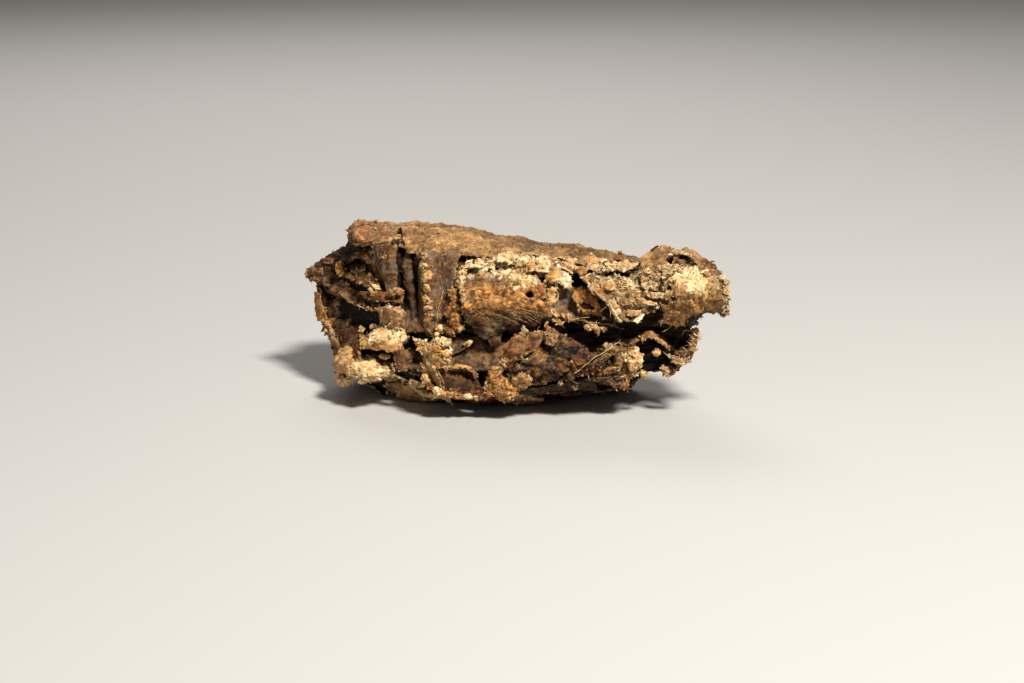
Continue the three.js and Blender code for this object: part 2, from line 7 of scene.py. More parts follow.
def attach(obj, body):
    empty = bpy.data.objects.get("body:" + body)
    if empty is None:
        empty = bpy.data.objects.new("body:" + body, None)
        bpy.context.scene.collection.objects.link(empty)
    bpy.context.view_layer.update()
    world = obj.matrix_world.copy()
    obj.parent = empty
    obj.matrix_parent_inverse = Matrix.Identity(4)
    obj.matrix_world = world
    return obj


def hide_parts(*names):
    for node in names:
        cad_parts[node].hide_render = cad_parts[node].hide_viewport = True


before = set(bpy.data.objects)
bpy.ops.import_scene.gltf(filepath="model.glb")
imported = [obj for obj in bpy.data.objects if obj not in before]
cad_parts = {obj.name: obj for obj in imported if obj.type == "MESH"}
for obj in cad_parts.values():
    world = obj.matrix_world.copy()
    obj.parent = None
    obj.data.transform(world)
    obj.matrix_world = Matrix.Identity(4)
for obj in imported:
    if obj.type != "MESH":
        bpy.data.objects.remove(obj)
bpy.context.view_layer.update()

MM = 0.001
SHIFT = np.array([0.683, -0.331, 0.0])     # the nets' frame to the part's frame

# ------------------------------------------------------------------ the view
ELEV = math.radians(15.0)
LENS, SENSOR, WIDE, HIGH = 80.0, 36.0, 1024, 683
FOCAL = LENS / SENSOR * WIDE
AWAY = 227.6
TARGET = np.array([-0.5, 0.0, 5.37])
RIGHT = np.array([1.0, 0.0, 0.0])
AHEAD = np.array([0.0, math.cos(ELEV), -math.sin(ELEV)])
ABOVE = np.array([0.0, math.sin(ELEV), math.cos(ELEV)])
EYE = TARGET - AWAY * AHEAD


def W(px, py, y):
    """The point at depth y (mm) that the view shows at pixel px, py."""
    d = AHEAD + RIGHT * (px - WIDE / 2) / FOCAL - ABOVE * (py - HIGH / 2) / FOCAL
    return EYE + d * (y - EYE[1]) / d[1] + SHIFT


# -------------------------------------------------------------------- noises
GRAD = np.array([[1, 1, 0], [-1, 1, 0], [1, -1, 0], [-1, -1, 0], [1, 0, 1], [-1, 0, 1], [1, 0, -1], [-1, 0, -1],
                 [0, 1, 1], [0, -1, 1], [0, 1, -1], [0, -1, -1], [1, 1, 0], [-1, 1, 0], [0, -1, 1], [0, -1, -1]], float)


def scramble(ix, iy, iz, seed):
    k = 0xFFFFFFFF
    h = (ix * 374761393 + iy * 668265263 + iz * 1440662683 + seed * 97463477).astype(np.int64) & k
    h = ((h ^ (h >> 13)) * 1274126177) & k
    h = ((h ^ (h >> 15)) * 1103515245) & k
    return h ^ (h >> 16)


def perlin(P, size, seed=0):
    Q = np.asarray(P, float) / size
    I = np.floor(Q).astype(np.int64)
    F = Q - I
    S = F * F * F * (F * (F * 6 - 15) + 10)
    out = np.zeros(Q.shape[:-1])
    for a in range(8):
        d = np.array([a & 1, (a >> 1) & 1, (a >> 2) & 1])
        g = GRAD[scramble(I[..., 0] + d[0], I[..., 1] + d[1], I[..., 2] + d[2], seed) & 15]
        w = np.prod(np.where(d == 1, S, 1 - S), axis=-1)
        out += w * np.einsum("...i,...i->...", g, F - d)
    return out * 1.3


def fbm(P, size, octaves=4, seed=0, gain=0.5):
    out, a, total = 0.0, 1.0, 0.0
    for k in range(octaves):
        out = out + a * perlin(P, size / 2.07 ** k, seed + 17 * k)
        total += a
        a *= gain
    return out / total * 1.4


def ridged(P, size, octaves=3, seed=0, gain=0.5):
    out, a, total = 0.0, 1.0, 0.0
    for k in range(octaves):
        out = out + a * (1 - 2 * np.abs(perlin(P, size / 2.1 ** k, seed + 13 * k)))
        total += a
        a *= gain
    return out / total


def pebbles(P, size, seed=0):
    """Rounded grains: 1 at a grain's middle, 0 in the cracks, and the grain's number."""
    Q = np.asarray(P, float) / size
    I = np.floor(Q).astype(np.int64)
    best = np.full(Q.shape[:-1], 9.0)
    second = np.full(Q.shape[:-1], 9.0)
    who = np.zeros(Q.shape[:-1], np.int64)
    for dx in (-1, 0, 1):
        for dy in (-1, 0, 1):
            for dz in (-1, 0, 1):
                jx, jy, jz = I[..., 0] + dx, I[..., 1] + dy, I[..., 2] + dz
                h = scramble(jx, jy, jz, seed)
                c = np.stack([jx + (h & 1023) / 1023.0, jy + ((h >> 10) & 1023) / 1023.0, jz + ((h >> 20) & 1023) / 1023.0], -1)
                d = np.sqrt(((Q - c) ** 2).sum(-1))
                near = d < best
                second = np.where(near, best, np.minimum(second, d))
                who = np.where(near, h, who)
                best = np.where(near, d, best)
    crack = np.clip((second - best) * 1.6, 0, 1)
    return np.sqrt(crack), (who & 4095) / 4095.0


def smooth(a, b, x):
    t = np.clip((x - a) / (b - a), 0, 1)
    return t * t * (3 - 2 * t)


def lerp(a, b, t):
    t = np.asarray(t)[..., None]
    return a * (1 - t) + b * t


# ------------------------------------------------------------------- palette
def srgb(r, g, b):
    c = np.array([r, g, b]) / 255.0
    return np.where(c <= 0.04045, c / 12.92, ((c + 0.055) / 1.055) ** 2.4)


COL = {
    "cream": srgb(253, 236, 194), "tan": srgb(184, 142, 90), "gold": srgb(190, 136, 68), "rust": srgb(138, 78, 36),
    "brown": srgb(92, 58, 31), "umber": srgb(50, 30, 15), "dark": srgb(22, 13, 7), "grey": srgb(108, 88, 70),
    "slate": srgb(74, 58, 45), "bark": srgb(132, 96, 60), "sand": srgb(224, 186, 130),
}
TONES = {
    "cream": ("umber", "gold", "sand", "cream"), "sand": ("umber", "bark", "tan", "sand"), "gold": ("umber", "rust", "gold", "sand"),
    "tan": ("dark", "brown", "bark", "sand"), "knob": ("umber", "bark", "tan", "cream"),
}


def toned(name, low):
    """The colour of a crust by height: painted shade in its pits, painted highlight on its tops."""
    c = [COL[k] for k in TONES[name]]
    low = np.asarray(low)
    out = lerp(c[0], c[1], smooth(0.12, 0.42, low))
    out = lerp(out, c[2], smooth(0.42, 0.66, low))
    return lerp(out, c[3], smooth(0.64, 0.92, low))


# --------------------------------------------------------------- mesh holders
class Bag:
    """Points, faces and per-point values of one joined piece."""

    def __init__(self, name):
        self.name, self.P, self.N, self.Q, self.T, self.C, self.X, self.count = name, [], [], [], [], [], [], 0

    def add(self, P, N, quads, tris, colour, extra):
        """extra is (edge, fibre, along, across, own)."""
        z = P[:, 2]
        P = P.copy()
        P[:, 2] = np.where(z < 0.25, 0.02 + 0.23 * np.exp(np.minimum(z - 0.25, 0) / 0.23), z)
        self.P.append(P)
        self.N.append(N)
        if quads is not None and len(quads):
            self.Q.append(quads + self.count)
        if tris is not None and len(tris):
            self.T.append(tris + self.count)
        self.C.append(colour)
        self.X.append(extra)
        self.count += len(P)

    def pack(self):
        self.P, self.N, self.C, self.X = (np.concatenate(a) for a in (self.P, self.N, self.C, self.X))
        self.Q = np.concatenate(self.Q) if self.Q else np.zeros((0, 4), int)
        self.T = np.concatenate(self.T) if self.T else np.zeros((0, 3), int)


BAGS = {}


def bag(name):
    if name not in BAGS:
        BAGS[name] = Bag(name)
    return BAGS[name]


def build(b, open_, material, smooth_shade):
    P = b.P * MM
    mesh = bpy.data.meshes.new(b.name)
    nq, nt = len(b.Q), len(b.T)
    mesh.vertices.add(len(P))
    mesh.vertices.foreach_set("co", P.astype(np.float32).ravel())
    loops = np.concatenate([b.Q.ravel(), b.T.ravel()]).astype(np.int32)
    mesh.loops.add(len(loops))
    mesh.loops.foreach_set("vertex_index", loops)
    start = np.concatenate([np.arange(nq) * 4, nq * 4 + np.arange(nt) * 3]).astype(np.int32)
    mesh.polygons.add(nq + nt)
    mesh.polygons.foreach_set("loop_start", start)
    mesh.polygons.foreach_set("use_smooth", np.full(nq + nt, smooth_shade))
    mesh.update(calc_edges=True)
    tint = mesh.attributes.new("tint", "FLOAT_COLOR", "POINT")
    tint.data.foreach_set("color", np.concatenate([b.C, np.ones((len(P), 1))], 1).astype(np.float32).ravel())
    for k, name in ((0, "edge"), (1, "fibre")):
        at = mesh.attributes.new(name, "FLOAT", "POINT")
        at.data.foreach_set("value", b.X[:, k].astype(np.float32))
    # open: how enclosed each point is; the material paints shade where it is low
    at = mesh.attributes.new("open", "FLOAT", "POINT")
    at.data.foreach_set("value", open_.astype(np.float32))
    flow = mesh.attributes.new("flow", "FLOAT_VECTOR", "POINT")
    flow.data.foreach_set("vector", b.X[:, 2:5].astype(np.float32).ravel())
    mesh.materials.append(material)
    mesh.validate(verbose=False)
    o = bpy.data.objects.new(b.name, mesh)
    bpy.context.scene.collection.objects.link(o)
    return o


# ------------------------------------------------------------ control surfaces
def catmull(a, b, c, d, t):
    return 0.5 * (2 * b + (c - a) * t + (2 * a - 5 * b + 4 * c - d) * t * t + (3 * b - a - 3 * c + d) * t ** 3)


def along(rows, s):
    """rows (n, ..., 3) at parameters s, past the ends too."""
    rows = np.asarray(rows, float)
    n = len(rows) - 1
    padded = np.concatenate([[2 * rows[0] - rows[1]], rows, [2 * rows[-1] - rows[-2]]])
    x = np.clip(s, 0, 1) * n
    i = np.minimum(np.floor(x).astype(int), n - 1)
    t = (x - i).reshape((-1,) + (1,) * (rows.ndim - 1))
    out = catmull(padded[i], padded[i + 1], padded[i + 2], padded[i + 3], t)
    below = np.minimum(s, 0).reshape(t.shape) * n
    over = np.maximum(s - 1, 0).reshape(t.shape) * n
    return out + below * (rows[1] - rows[0]) + over * (rows[-1] - rows[-2])


def surface(net, u, v):
    a = along(np.swapaxes(net, 0, 1), u)          # (nu, rows, 3)
    return along(np.swapaxes(a, 0, 1), v)         # (nv, nu, 3)


def normals(P):
    du = np.gradient(P, axis=1)
    dv = np.gradient(P, axis=0)
    n = np.cross(du, dv)
    return n / (np.linalg.norm(n, axis=-1, keepdims=True) + 1e-9)


def islands(mask, least):
    """Drops parts of a mask that have fewer than least cells."""
    label = np.where(mask, np.arange(1, mask.size + 1).reshape(mask.shape), 0)
    for _ in range(900):
        new = label.copy()
        for axis in (0, 1):
            for step in (1, -1):
                r = np.roll(label, step, axis)
                if axis == 0:
                    r[0 if step == 1 else -1, :] = 0
                else:
                    r[:, 0 if step == 1 else -1] = 0
                new = np.where(mask, np.maximum(new, r), 0)
        # jump ahead: a label's own label
        flat = new.ravel()
        new = np.where(mask, np.maximum(new, flat[np.maximum(new - 1, 0)]), 0)
        if (new == label).all():
            break
        label = new
    ids, counts = np.unique(label[mask], return_counts=True)
    keep = np.zeros(mask.size + 2, bool)
    keep[ids[counts >= least]] = True
    return mask & keep[label]


def tint_of(P, look, seed, edge, low, crust, top=None):
    """The base colour of points, from named colours, noise and the height of the fine relief, which paints shade into
    its hollows and highlight onto its tops.
    """
    a, b = COL[look["a"]], COL[look["b"]]
    t = smooth(-0.3, 0.3, fbm(P, look.get("patch", 2.2), 4, seed + 301) + 0.5 * fbm(P, 0.45, 3, seed + 311))
    c = lerp(a, b, t)
    if look.get("rust", 0) > 0:
        r = smooth(0.1, 0.55, fbm(P, 1.5, 4, seed + 405, 0.65)) * look["rust"]
        c = lerp(c, COL[look.get("warm", "rust")], r)
    # painted shade in the hollows of the fine relief, painted highlight on its tops
    c = c * (0.24 + 1.32 * np.clip(low, 0, 1.1) ** 1.35)[..., None]
    c = lerp(c, toned(look.get("crust", "cream"), low if top is None else top), crust)
    rim = lerp(COL[look.get("rim", "sand")], COL["cream"], smooth(-0.1, 0.5, fbm(P, 0.6, 3, seed + 55)) * look.get("bright", 0.6))
    # painted shade on the rims too, darker in the hollows of the relief
    c = lerp(c, rim * (0.45 + 0.7 * low)[..., None], np.clip(edge * look.get("rimming", 0.7), 0, 1))
    return np.clip(c, 0.003, 0.95)


def warped(P, size, amount, seed):
    return P + amount * np.stack([perlin(P, size, seed), perlin(P, size, seed + 1), perlin(P, size, seed + 2)], -1)


def crusty(P, size, seed):
    """Height 0..1 of a crust of broken grains and flakes."""
    Q = warped(P, size * 1.3, size * 0.45, seed)
    p1, who = pebbles(Q, size, seed + 31)
    p2, _ = pebbles(Q, size * 0.5, seed + 37)
    rg = ridged(Q, size * 1.1, 3, seed + 41, 0.65) * 0.5 + 0.5
    c = 0.18 * p1 * p1 + 0.13 * p2 * p2 + 0.40 * rg + 0.13 * who + 0.24 * fbm(P, size * 0.45, 3, seed + 43, 0.6) + 0.24 * fbm(P, size * 3.5, 2, seed + 47)
    return np.clip(c * 1.12 + 0.02, 0, 1.1)


def sheet(to, px, look, h=0.13, thick=0.35, torn=(0.5, 0.5, 0.5, 0.5), grow=None, fold=0.16, foldsize=1.7,
          fine=0.05, grain=0.0, seed=1, holes=(), crust=None, lift=0.15, flip=False, fibre=0.6, turn=False, toward=None, mm=False, rim=0.14, crustsize=0.46, bulk=0.26, paint=None, rugged=0.11, cracks=(0, 0), pale=0.0):
    """A torn, crumpled, two-sided layer on a net of (pixel x, pixel y, depth).
    torn: how far the left, right, top and bottom edges are ragged, in mm; 0 is an edge buried in its neighbour."""
    net = np.array([[(q if mm else W(*q)) for q in row] for row in px], float)
    us = np.linalg.norm(np.diff(net, axis=1), axis=-1).sum(1).max()
    vs = np.linalg.norm(np.diff(net, axis=0), axis=-1).sum(0).max()
    if grow is None:
        grow = tuple(0.5 * t for t in torn)
    nu, nv = max(4, int((us + grow[0] + grow[1]) / h)), max(4, int((vs + grow[2] + grow[3]) / h))
    u = np.linspace(-grow[0] / us, 1 + grow[1] / us, nu)
    v = np.linspace(-grow[2] / vs, 1 + grow[3] / vs, nv)
    P = surface(net, u, v)
    N = normals(P)
    view = toward if toward is not None else -AHEAD
    if (N @ view).mean() < 0:
        N = -N
        swap = True
    else:
        swap = False
    step_u = np.linalg.norm(np.diff(P, axis=1), axis=-1)
    step_v = np.linalg.norm(np.diff(P, axis=0), axis=-1)
    su = np.concatenate([np.zeros((nv, 1)), np.cumsum(step_u, 1)], 1)
    sv = np.concatenate([np.zeros((1, nu)), np.cumsum(step_v, 0)], 0)
    wob = fbm(P, foldsize, 3, seed) * fold + fbm(P, foldsize * 3, 1, seed + 3) * fold * 0.8
    crease = ridged(warped(P, foldsize, foldsize * 0.25, seed + 61), foldsize * 0.8, 3, seed + 65, 0.6)
    wob = wob + 0.45 * fold * np.clip(crease - 0.25, -0.5, 1)
    P = P + N * wob[..., None]
    tz = min(1.2, 0.15 + 0.42 * min(us, vs))
    tear = 0.5 + 0.6 * fbm(P, tz, 5, seed + 91, 0.72)
    border = np.full(P.shape[:2], 9.0)
    for k, d in enumerate((su, su[:, -1:] - su, sv, sv[-1:, :] - sv)):
        if torn[k] > 0:
            border = np.minimum(border, d - torn[k] * tear)
    for (hu, hv, hr) in holes:
        d = np.hypot((u[None, :] - hu) * us, (v[:, None] - hv) * vs)
        border = np.minimum(border, d - hr * (0.5 + 0.9 * tear))
    mask = border > 0
    cells = mask[:-1, :-1] & mask[1:, :-1] & mask[:-1, 1:] & mask[1:, 1:]
    cells = islands(cells, max(30, int(0.25 / h / h)))
    edge = np.exp(-np.maximum(border, 0) / (rim * (1 + 0.7 * fbm(P, 0.7, 2, seed + 5))))
    edge = edge * smooth(-0.45, 0.25, fbm(P, 0.9, 3, seed + 6))
    edge = np.where(border > 6, 0, edge)
    cr = np.zeros_like(edge) if crust is None else np.clip(crust(u[None, :] + 0 * P[..., 0], v[:, None] + 0 * P[..., 0], P), 0, 1)
    cr = smooth(0.25, 0.75, cr + 0.35 * fbm(P, 0.9, 4, seed + 71) * (cr > 0.02) * (cr < 0.98))
    # relief: lines along the layer, and crumbs where it is crusted or broken
    flow = np.stack([su if not turn else sv, sv if not turn else su, np.full_like(su, seed * 3.7)], -1)
    lines = fbm(flow * np.array([0.22, 1.0, 1.0]), 0.45, 3, seed + 7) + 0.6 * fbm(flow * np.array([0.3, 1.0, 1.0]), 0.2, 2, seed + 8)
    lumpy = np.clip(cr + grain * smooth(-0.3, 0.4, fbm(P, 1.4, 3, seed + 17)), 0, 1)
    small = fbm(P, 0.3, 3, seed + 9, 0.65)
    rough_ = ridged(warped(P, 0.9, 0.3, seed + 67), 0.75, 3, seed + 69, 0.6)
    relief = fine * lines * fibre * (1 - 0.7 * cr) + 0.8 * fine * small + rugged * rough_
    # low: the relief height, which the colour turns into painted shade in hollows and painted highlight on tops
    low = 0.44 + 0.36 * lines * fibre * (1 - cr) + 0.30 * small + 0.28 * rough_ + 0.10 * crease
    tops = low
    if lumpy.max() > 0.1:
        crumb = crusty(P + 0.1 * N, crustsize, seed + 31)
        relief = relief + lumpy * (crumb - 0.45) * bulk
        low = low * (1 - lumpy) + lumpy * crumb
        tops = pale + (1 - pale) * crumb
    if cracks[0] > 0:
        plate = ridged(warped(P, cracks[0], 0.3 * cracks[0], seed + 81) * np.array([1, 1, 1.5]), cracks[0] * 1.3, 2, seed + 83)
        cleft = smooth(0.58, 0.86, plate) * cracks[1]
        step = fbm(P, cracks[0] * 1.2, 2, seed + 85)
        relief = relief - 0.32 * cleft + 0.16 * step
        # painted shade in the cracks
        low = low * (1 - 0.85 * cleft)
        tops = tops * (1 - 0.85 * cleft)
    low = np.clip(low, 0, 1.2)
    body = thick * (0.3 + 0.7 * smooth(0, 0.5, border)) * (0.85 + 0.3 * fbm(P, 1.1, 2, seed + 13))
    P = P + N * (lift * np.exp(-np.maximum(border, 0) / 0.9) * (0.4 + fbm(P, 1.6, 2, seed + 23)))[..., None]
    Fr = P + N * (body / 2 + relief)[..., None]
    Bk = P - N * (body / 2 + 0.4 * fine * fbm(P, 0.5, 2, seed + 41))[..., None]
    col = tint_of(P, look, seed, edge, low, np.maximum(cr, look.get("graining", 0.5) * lumpy), tops)
    if paint is not None:
        col = np.clip(paint(u[None, :] + 0 * P[..., 0], v[:, None] + 0 * P[..., 0], P, col, low, cr), 0.003, 0.95)
    back = tint_of(P, {"a": look.get("back", "umber"), "b": look["b"], "rim": look.get("rim", "sand")}, seed + 5, edge, np.full_like(low, 0.5), 0 * cr)
    n = nu * nv
    idx = np.arange(n).reshape(nv, nu)
    a, b_, c_, d_ = idx[:-1, :-1][cells], idx[:-1, 1:][cells], idx[1:, 1:][cells], idx[1:, :-1][cells]
    front = np.stack([a, b_, c_, d_], 1)
    if swap:
        front = front[:, ::-1]
    rear = front[:, ::-1] + n
    quads = [front, rear]
    pad = np.pad(cells, 1)
    for (dy, dx, p, q) in ((-1, 0, (0, 0), (0, 1)), (1, 0, (1, 1), (1, 0)), (0, -1, (1, 0), (0, 0)), (0, 1, (0, 1), (1, 1))):
        lone = cells & ~pad[1 + dy:pad.shape[0] - 1 + dy, 1 + dx:pad.shape[1] - 1 + dx]
        i, j = np.nonzero(lone)
        e0, e1 = idx[i + p[0], j + p[1]], idx[i + q[0], j + q[1]]
        quad = np.stack([e1, e0, e0 + n, e1 + n], 1)
        quads.append(quad[:, ::-1] if swap else quad)
    quads = np.concatenate(quads)
    used = np.unique(quads)
    new = np.zeros(2 * n, int)
    new[used] = np.arange(len(used))
    allP = np.concatenate([Fr.reshape(-1, 3), Bk.reshape(-1, 3)])[used]
    allN = np.concatenate([N.reshape(-1, 3), -N.reshape(-1, 3)])[used]
    allC = np.concatenate([col.reshape(-1, 3), back.reshape(-1, 3)])[used]
    fib = np.clip(fibre * (1 - cr) * (1 - edge), 0, 1)
    ex = np.stack([np.maximum(edge, cr), fib, flow[..., 0], flow[..., 1], flow[..., 2]], -1).reshape(-1, 5)
    allX = np.concatenate([ex, ex])[used]
    bag(to).add(allP, allN, new[quads], None, allC, allX)
    keep = np.zeros((nv, nu), bool)
    keep[:-1, :-1] |= cells
    keep[1:, 1:] |= cells
    return {"P": Fr[keep], "N": N[keep], "edge": edge[keep], "crust": cr[keep], "col": col[keep], "h": h}


# --------------------------------------------------------------------- lumps
def cube_sphere(n):
    """A closed quad sphere with n cells along each side of a cube."""
    P, Q = [], []
    g = np.tan(np.linspace(-1, 1, n + 1) * math.pi / 4)
    for axis in range(3):
        for sign in (-1, 1):
            A, B = np.meshgrid(g, g, indexing="ij")
            f = np.zeros((n + 1, n + 1, 3))
            f[..., axis] = sign
            f[..., (axis + 1) % 3] = A
            f[..., (axis + 2) % 3] = B
            idx = np.arange((n + 1) ** 2).reshape(n + 1, n + 1) + len(P) * (n + 1) ** 2
            q = np.stack([idx[:-1, :-1], idx[1:, :-1], idx[1:, 1:], idx[:-1, 1:]], -1).reshape(-1, 4)
            Q.append(q if sign == 1 else q[:, ::-1])
            P.append(f.reshape(-1, 3))
    P = np.concatenate(P)
    P /= np.linalg.norm(P, axis=1, keepdims=True)
    key = np.round(P * 1e5).astype(np.int64)
    _, first, inverse = np.unique(key, axis=0, return_index=True, return_inverse=True)
    return P[first], inverse.reshape(-1)[np.concatenate(Q)]


def rot(ax, ay, az):
    return np.array(Matrix.Rotation(math.radians(az), 3, "Z") @ Matrix.Rotation(math.radians(ay), 3, "Y") @ Matrix.Rotation(math.radians(ax), 3, "X"))


def lump(to, at, r, look, h=0.13, tilt=(0, 0, 0), seed=1, rough=0.16, crumbs=(0.7, 0.22), crust=None, fibre=0.2, mm=False, calm=0.0):
    """A rough closed shell at (pixel x, pixel y, depth) with radii r in mm."""
    c = np.array(at, float) if mm else W(*at)
    n = max(6, int(sum(r) / 3 * math.pi / 2 / h))
    D, Q = cube_sphere(n)
    R = rot(*tilt)
    base = (D * np.array(r)) @ R.T
    N = (D / np.array(r)) @ R.T
    N /= np.linalg.norm(N, axis=1, keepdims=True)
    P = base * (1 + rough * fbm(base + c, 0.8 * min(r) + 0.25, 4, seed, 0.6) + 0.5 * rough * ridged(base + c, 0.8 * min(r) + 0.15, 3, seed + 9, 0.6))[:, None] + c
    cr = np.ones(len(P)) if crust is None else np.clip(crust(D, P), 0, 1)
    cr = smooth(0.25, 0.75, cr + 0.35 * fbm(P, 0.9, 4, seed + 71) * (cr > 0.02) * (cr < 0.98))
    crumb = crusty(P, crumbs[0], seed + 31)
    amount = 0.45 + 0.55 * cr
    P = P + N * ((crumb - 0.5) * crumbs[1] * 1.5 * amount + 0.5 * crumbs[1] * fbm(P, 0.8, 3, seed + 3))[:, None]
    low = np.clip(crumb + 0.15 * fbm(P, 0.4, 3, seed + 8), 0, 1.1)
    low = low * (1 - calm) + calm * np.clip(0.74 + 0.4 * fbm(P, 0.9, 5, seed + 12, 0.7), 0, 1.1)
    col = tint_of(P, look, seed, np.zeros(len(P)), low, np.clip(cr * look.get("crusting", 0.85) + 0.1, 0, 1))
    ex = np.stack([cr, np.full(len(P), fibre), P[:, 0], P[:, 2], np.full(len(P), seed * 1.7)], -1)
    bag(to).add(P, N, Q, None, col, ex)
    return {"P": P, "N": N, "edge": cr, "crust": cr, "col": col, "h": h}


# -------------------------------------------------------------------- crumbs
def ico(level):
    t = (1 + 5 ** 0.5) / 2
    V = [(-1, t, 0), (1, t, 0), (-1, -t, 0), (1, -t, 0), (0, -1, t), (0, 1, t), (0, -1, -t), (0, 1, -t), (t, 0, -1), (t, 0, 1), (-t, 0, -1), (-t, 0, 1)]
    F = [(0, 11, 5), (0, 5, 1), (0, 1, 7), (0, 7, 10), (0, 10, 11), (1, 5, 9), (5, 11, 4), (11, 10, 2), (10, 7, 6), (7, 1, 8),
         (3, 9, 4), (3, 4, 2), (3, 2, 6), (3, 6, 8), (3, 8, 9), (4, 9, 5), (2, 4, 11), (6, 2, 10), (8, 6, 7), (9, 8, 1)]
    V = [np.array(v) / np.linalg.norm(v) for v in V]
    for _ in range(level):
        seen, new = {}, []

        def mid(a, b):
            k = (min(a, b), max(a, b))
            if k not in seen:
                m = V[a] + V[b]
                V.append(m / np.linalg.norm(m))
                seen[k] = len(V) - 1
            return seen[k]
        for a, b, c in F:
            x, y, z = mid(a, b), mid(b, c), mid(c, a)
            new += [(a, x, z), (b, y, x), (c, z, y), (x, y, z)]
        F = new
    return np.array(V), np.array(F)


OCT = (np.array([(1, 0, 0), (-1, 0, 0), (0, 1, 0), (0, -1, 0), (0, 0, 1), (0, 0, -1)], float),
       np.array([(0, 2, 4), (2, 1, 4), (1, 3, 4), (3, 0, 4), (2, 0, 5), (1, 2, 5), (3, 1, 5), (0, 3, 5)]))
ICO = [ico(0), ico(1), OCT]


def turns(rng, n):
    q = rng.normal(size=(n, 4))
    q /= np.linalg.norm(q, axis=1, keepdims=True)
    w, x, y, z = q.T
    return np.stack([1 - 2 * (y * y + z * z), 2 * (x * y - z * w), 2 * (x * z + y * w),
                     2 * (x * y + z * w), 1 - 2 * (x * x + z * z), 2 * (y * z - x * w),
                     2 * (x * z - y * w), 2 * (y * z + x * w), 1 - 2 * (x * x + y * y)], 1).reshape(n, 3, 3)


def crumbs(to, C, r, colour, rng, level=2, squash=(0.18, 1.8)):
    """Irregular grains at C with radii r."""
    if len(C) == 0:
        return
    V, F = ICO[level]
    n = len(C)
    s = rng.uniform(squash[0], squash[1], size=(n, 1, 3))
    jitter = rng.uniform(0.5, 1.35, size=(n, len(V), 1))
    B = V[None] * jitter * s
    B = np.einsum("nij,nkj->nki", turns(rng, n), B)
    P = C[:, None, :] + B * r[:, None, None]
    N = B / (np.linalg.norm(B, axis=-1, keepdims=True) + 1e-9)
    tris = (F[None] + (np.arange(n) * len(V))[:, None, None]).reshape(-1, 3)
    shade = rng.uniform(0.62, 1.2, size=(n, 1, 1)) * rng.uniform(0.82, 1.16, size=(n, len(V), 1))
    col = np.clip(colour[:, None, :] * shade, 0.003, 0.95).reshape(-1, 3)
    P = P.reshape(-1, 3)
    ex = np.stack([np.ones(len(P)), np.zeros(len(P)), P[:, 0], P[:, 1], P[:, 2]], -1)
    bag(to).add(P, N.reshape(-1, 3), None, tris, col, ex)


def scatter(to, s, count, size, rng, where="edge", power=1.0, colours=("cream", "sand", "tan", "gold"), sink=0.3, level=2, lift=0.0):
    """Crumbs on a made surface, most where its edge or crust value is high."""
    if len(s["P"]) == 0:
        return
    w = np.clip(s[where], 0, 1) ** power + 1e-6
    pick = rng.choice(len(w), size=count, p=w / w.sum())
    r = size[0] + (size[1] - size[0]) * rng.random(count) ** 2.2
    C = s["P"][pick] + s["N"][pick] * (r * (1 - sink) * 0.6 + lift)[:, None] + rng.normal(size=(count, 3)) * 0.04
    names = rng.integers(0, len(colours), count)
    own = np.array([COL[c] for c in colours])[names]
    col = 0.5 * own + 0.5 * s["col"][pick]
    crumbs(to, C, r, col, rng, level)


def clump(to, at, r, look, seed, n=16, tilt=(0, 0, 0), colours=("cream", "sand", "sand", "tan")):
    """A broken bit: a very rough small core with plate-like grains on it."""
    s = lump(to, at, tuple(0.8 * q for q in r), look, h=0.075, tilt=tilt, seed=seed, rough=0.5, crumbs=(0.3, 0.16))
    q = np.random.default_rng(seed + 5)
    pick = q.integers(0, len(s["P"]), n)
    size = q.uniform(0.06, 0.2, n) * (0.6 + 0.8 * min(r))
    own = np.array([COL[c] for c in colours])[q.integers(0, len(colours), n)]
    crumbs("crumbs_fine", s["P"][pick] + s["N"][pick] * (size * 0.4)[:, None], size, 0.6 * own + 0.4 * s["col"][pick], q, squash=(0.12, 1.7))
    return s


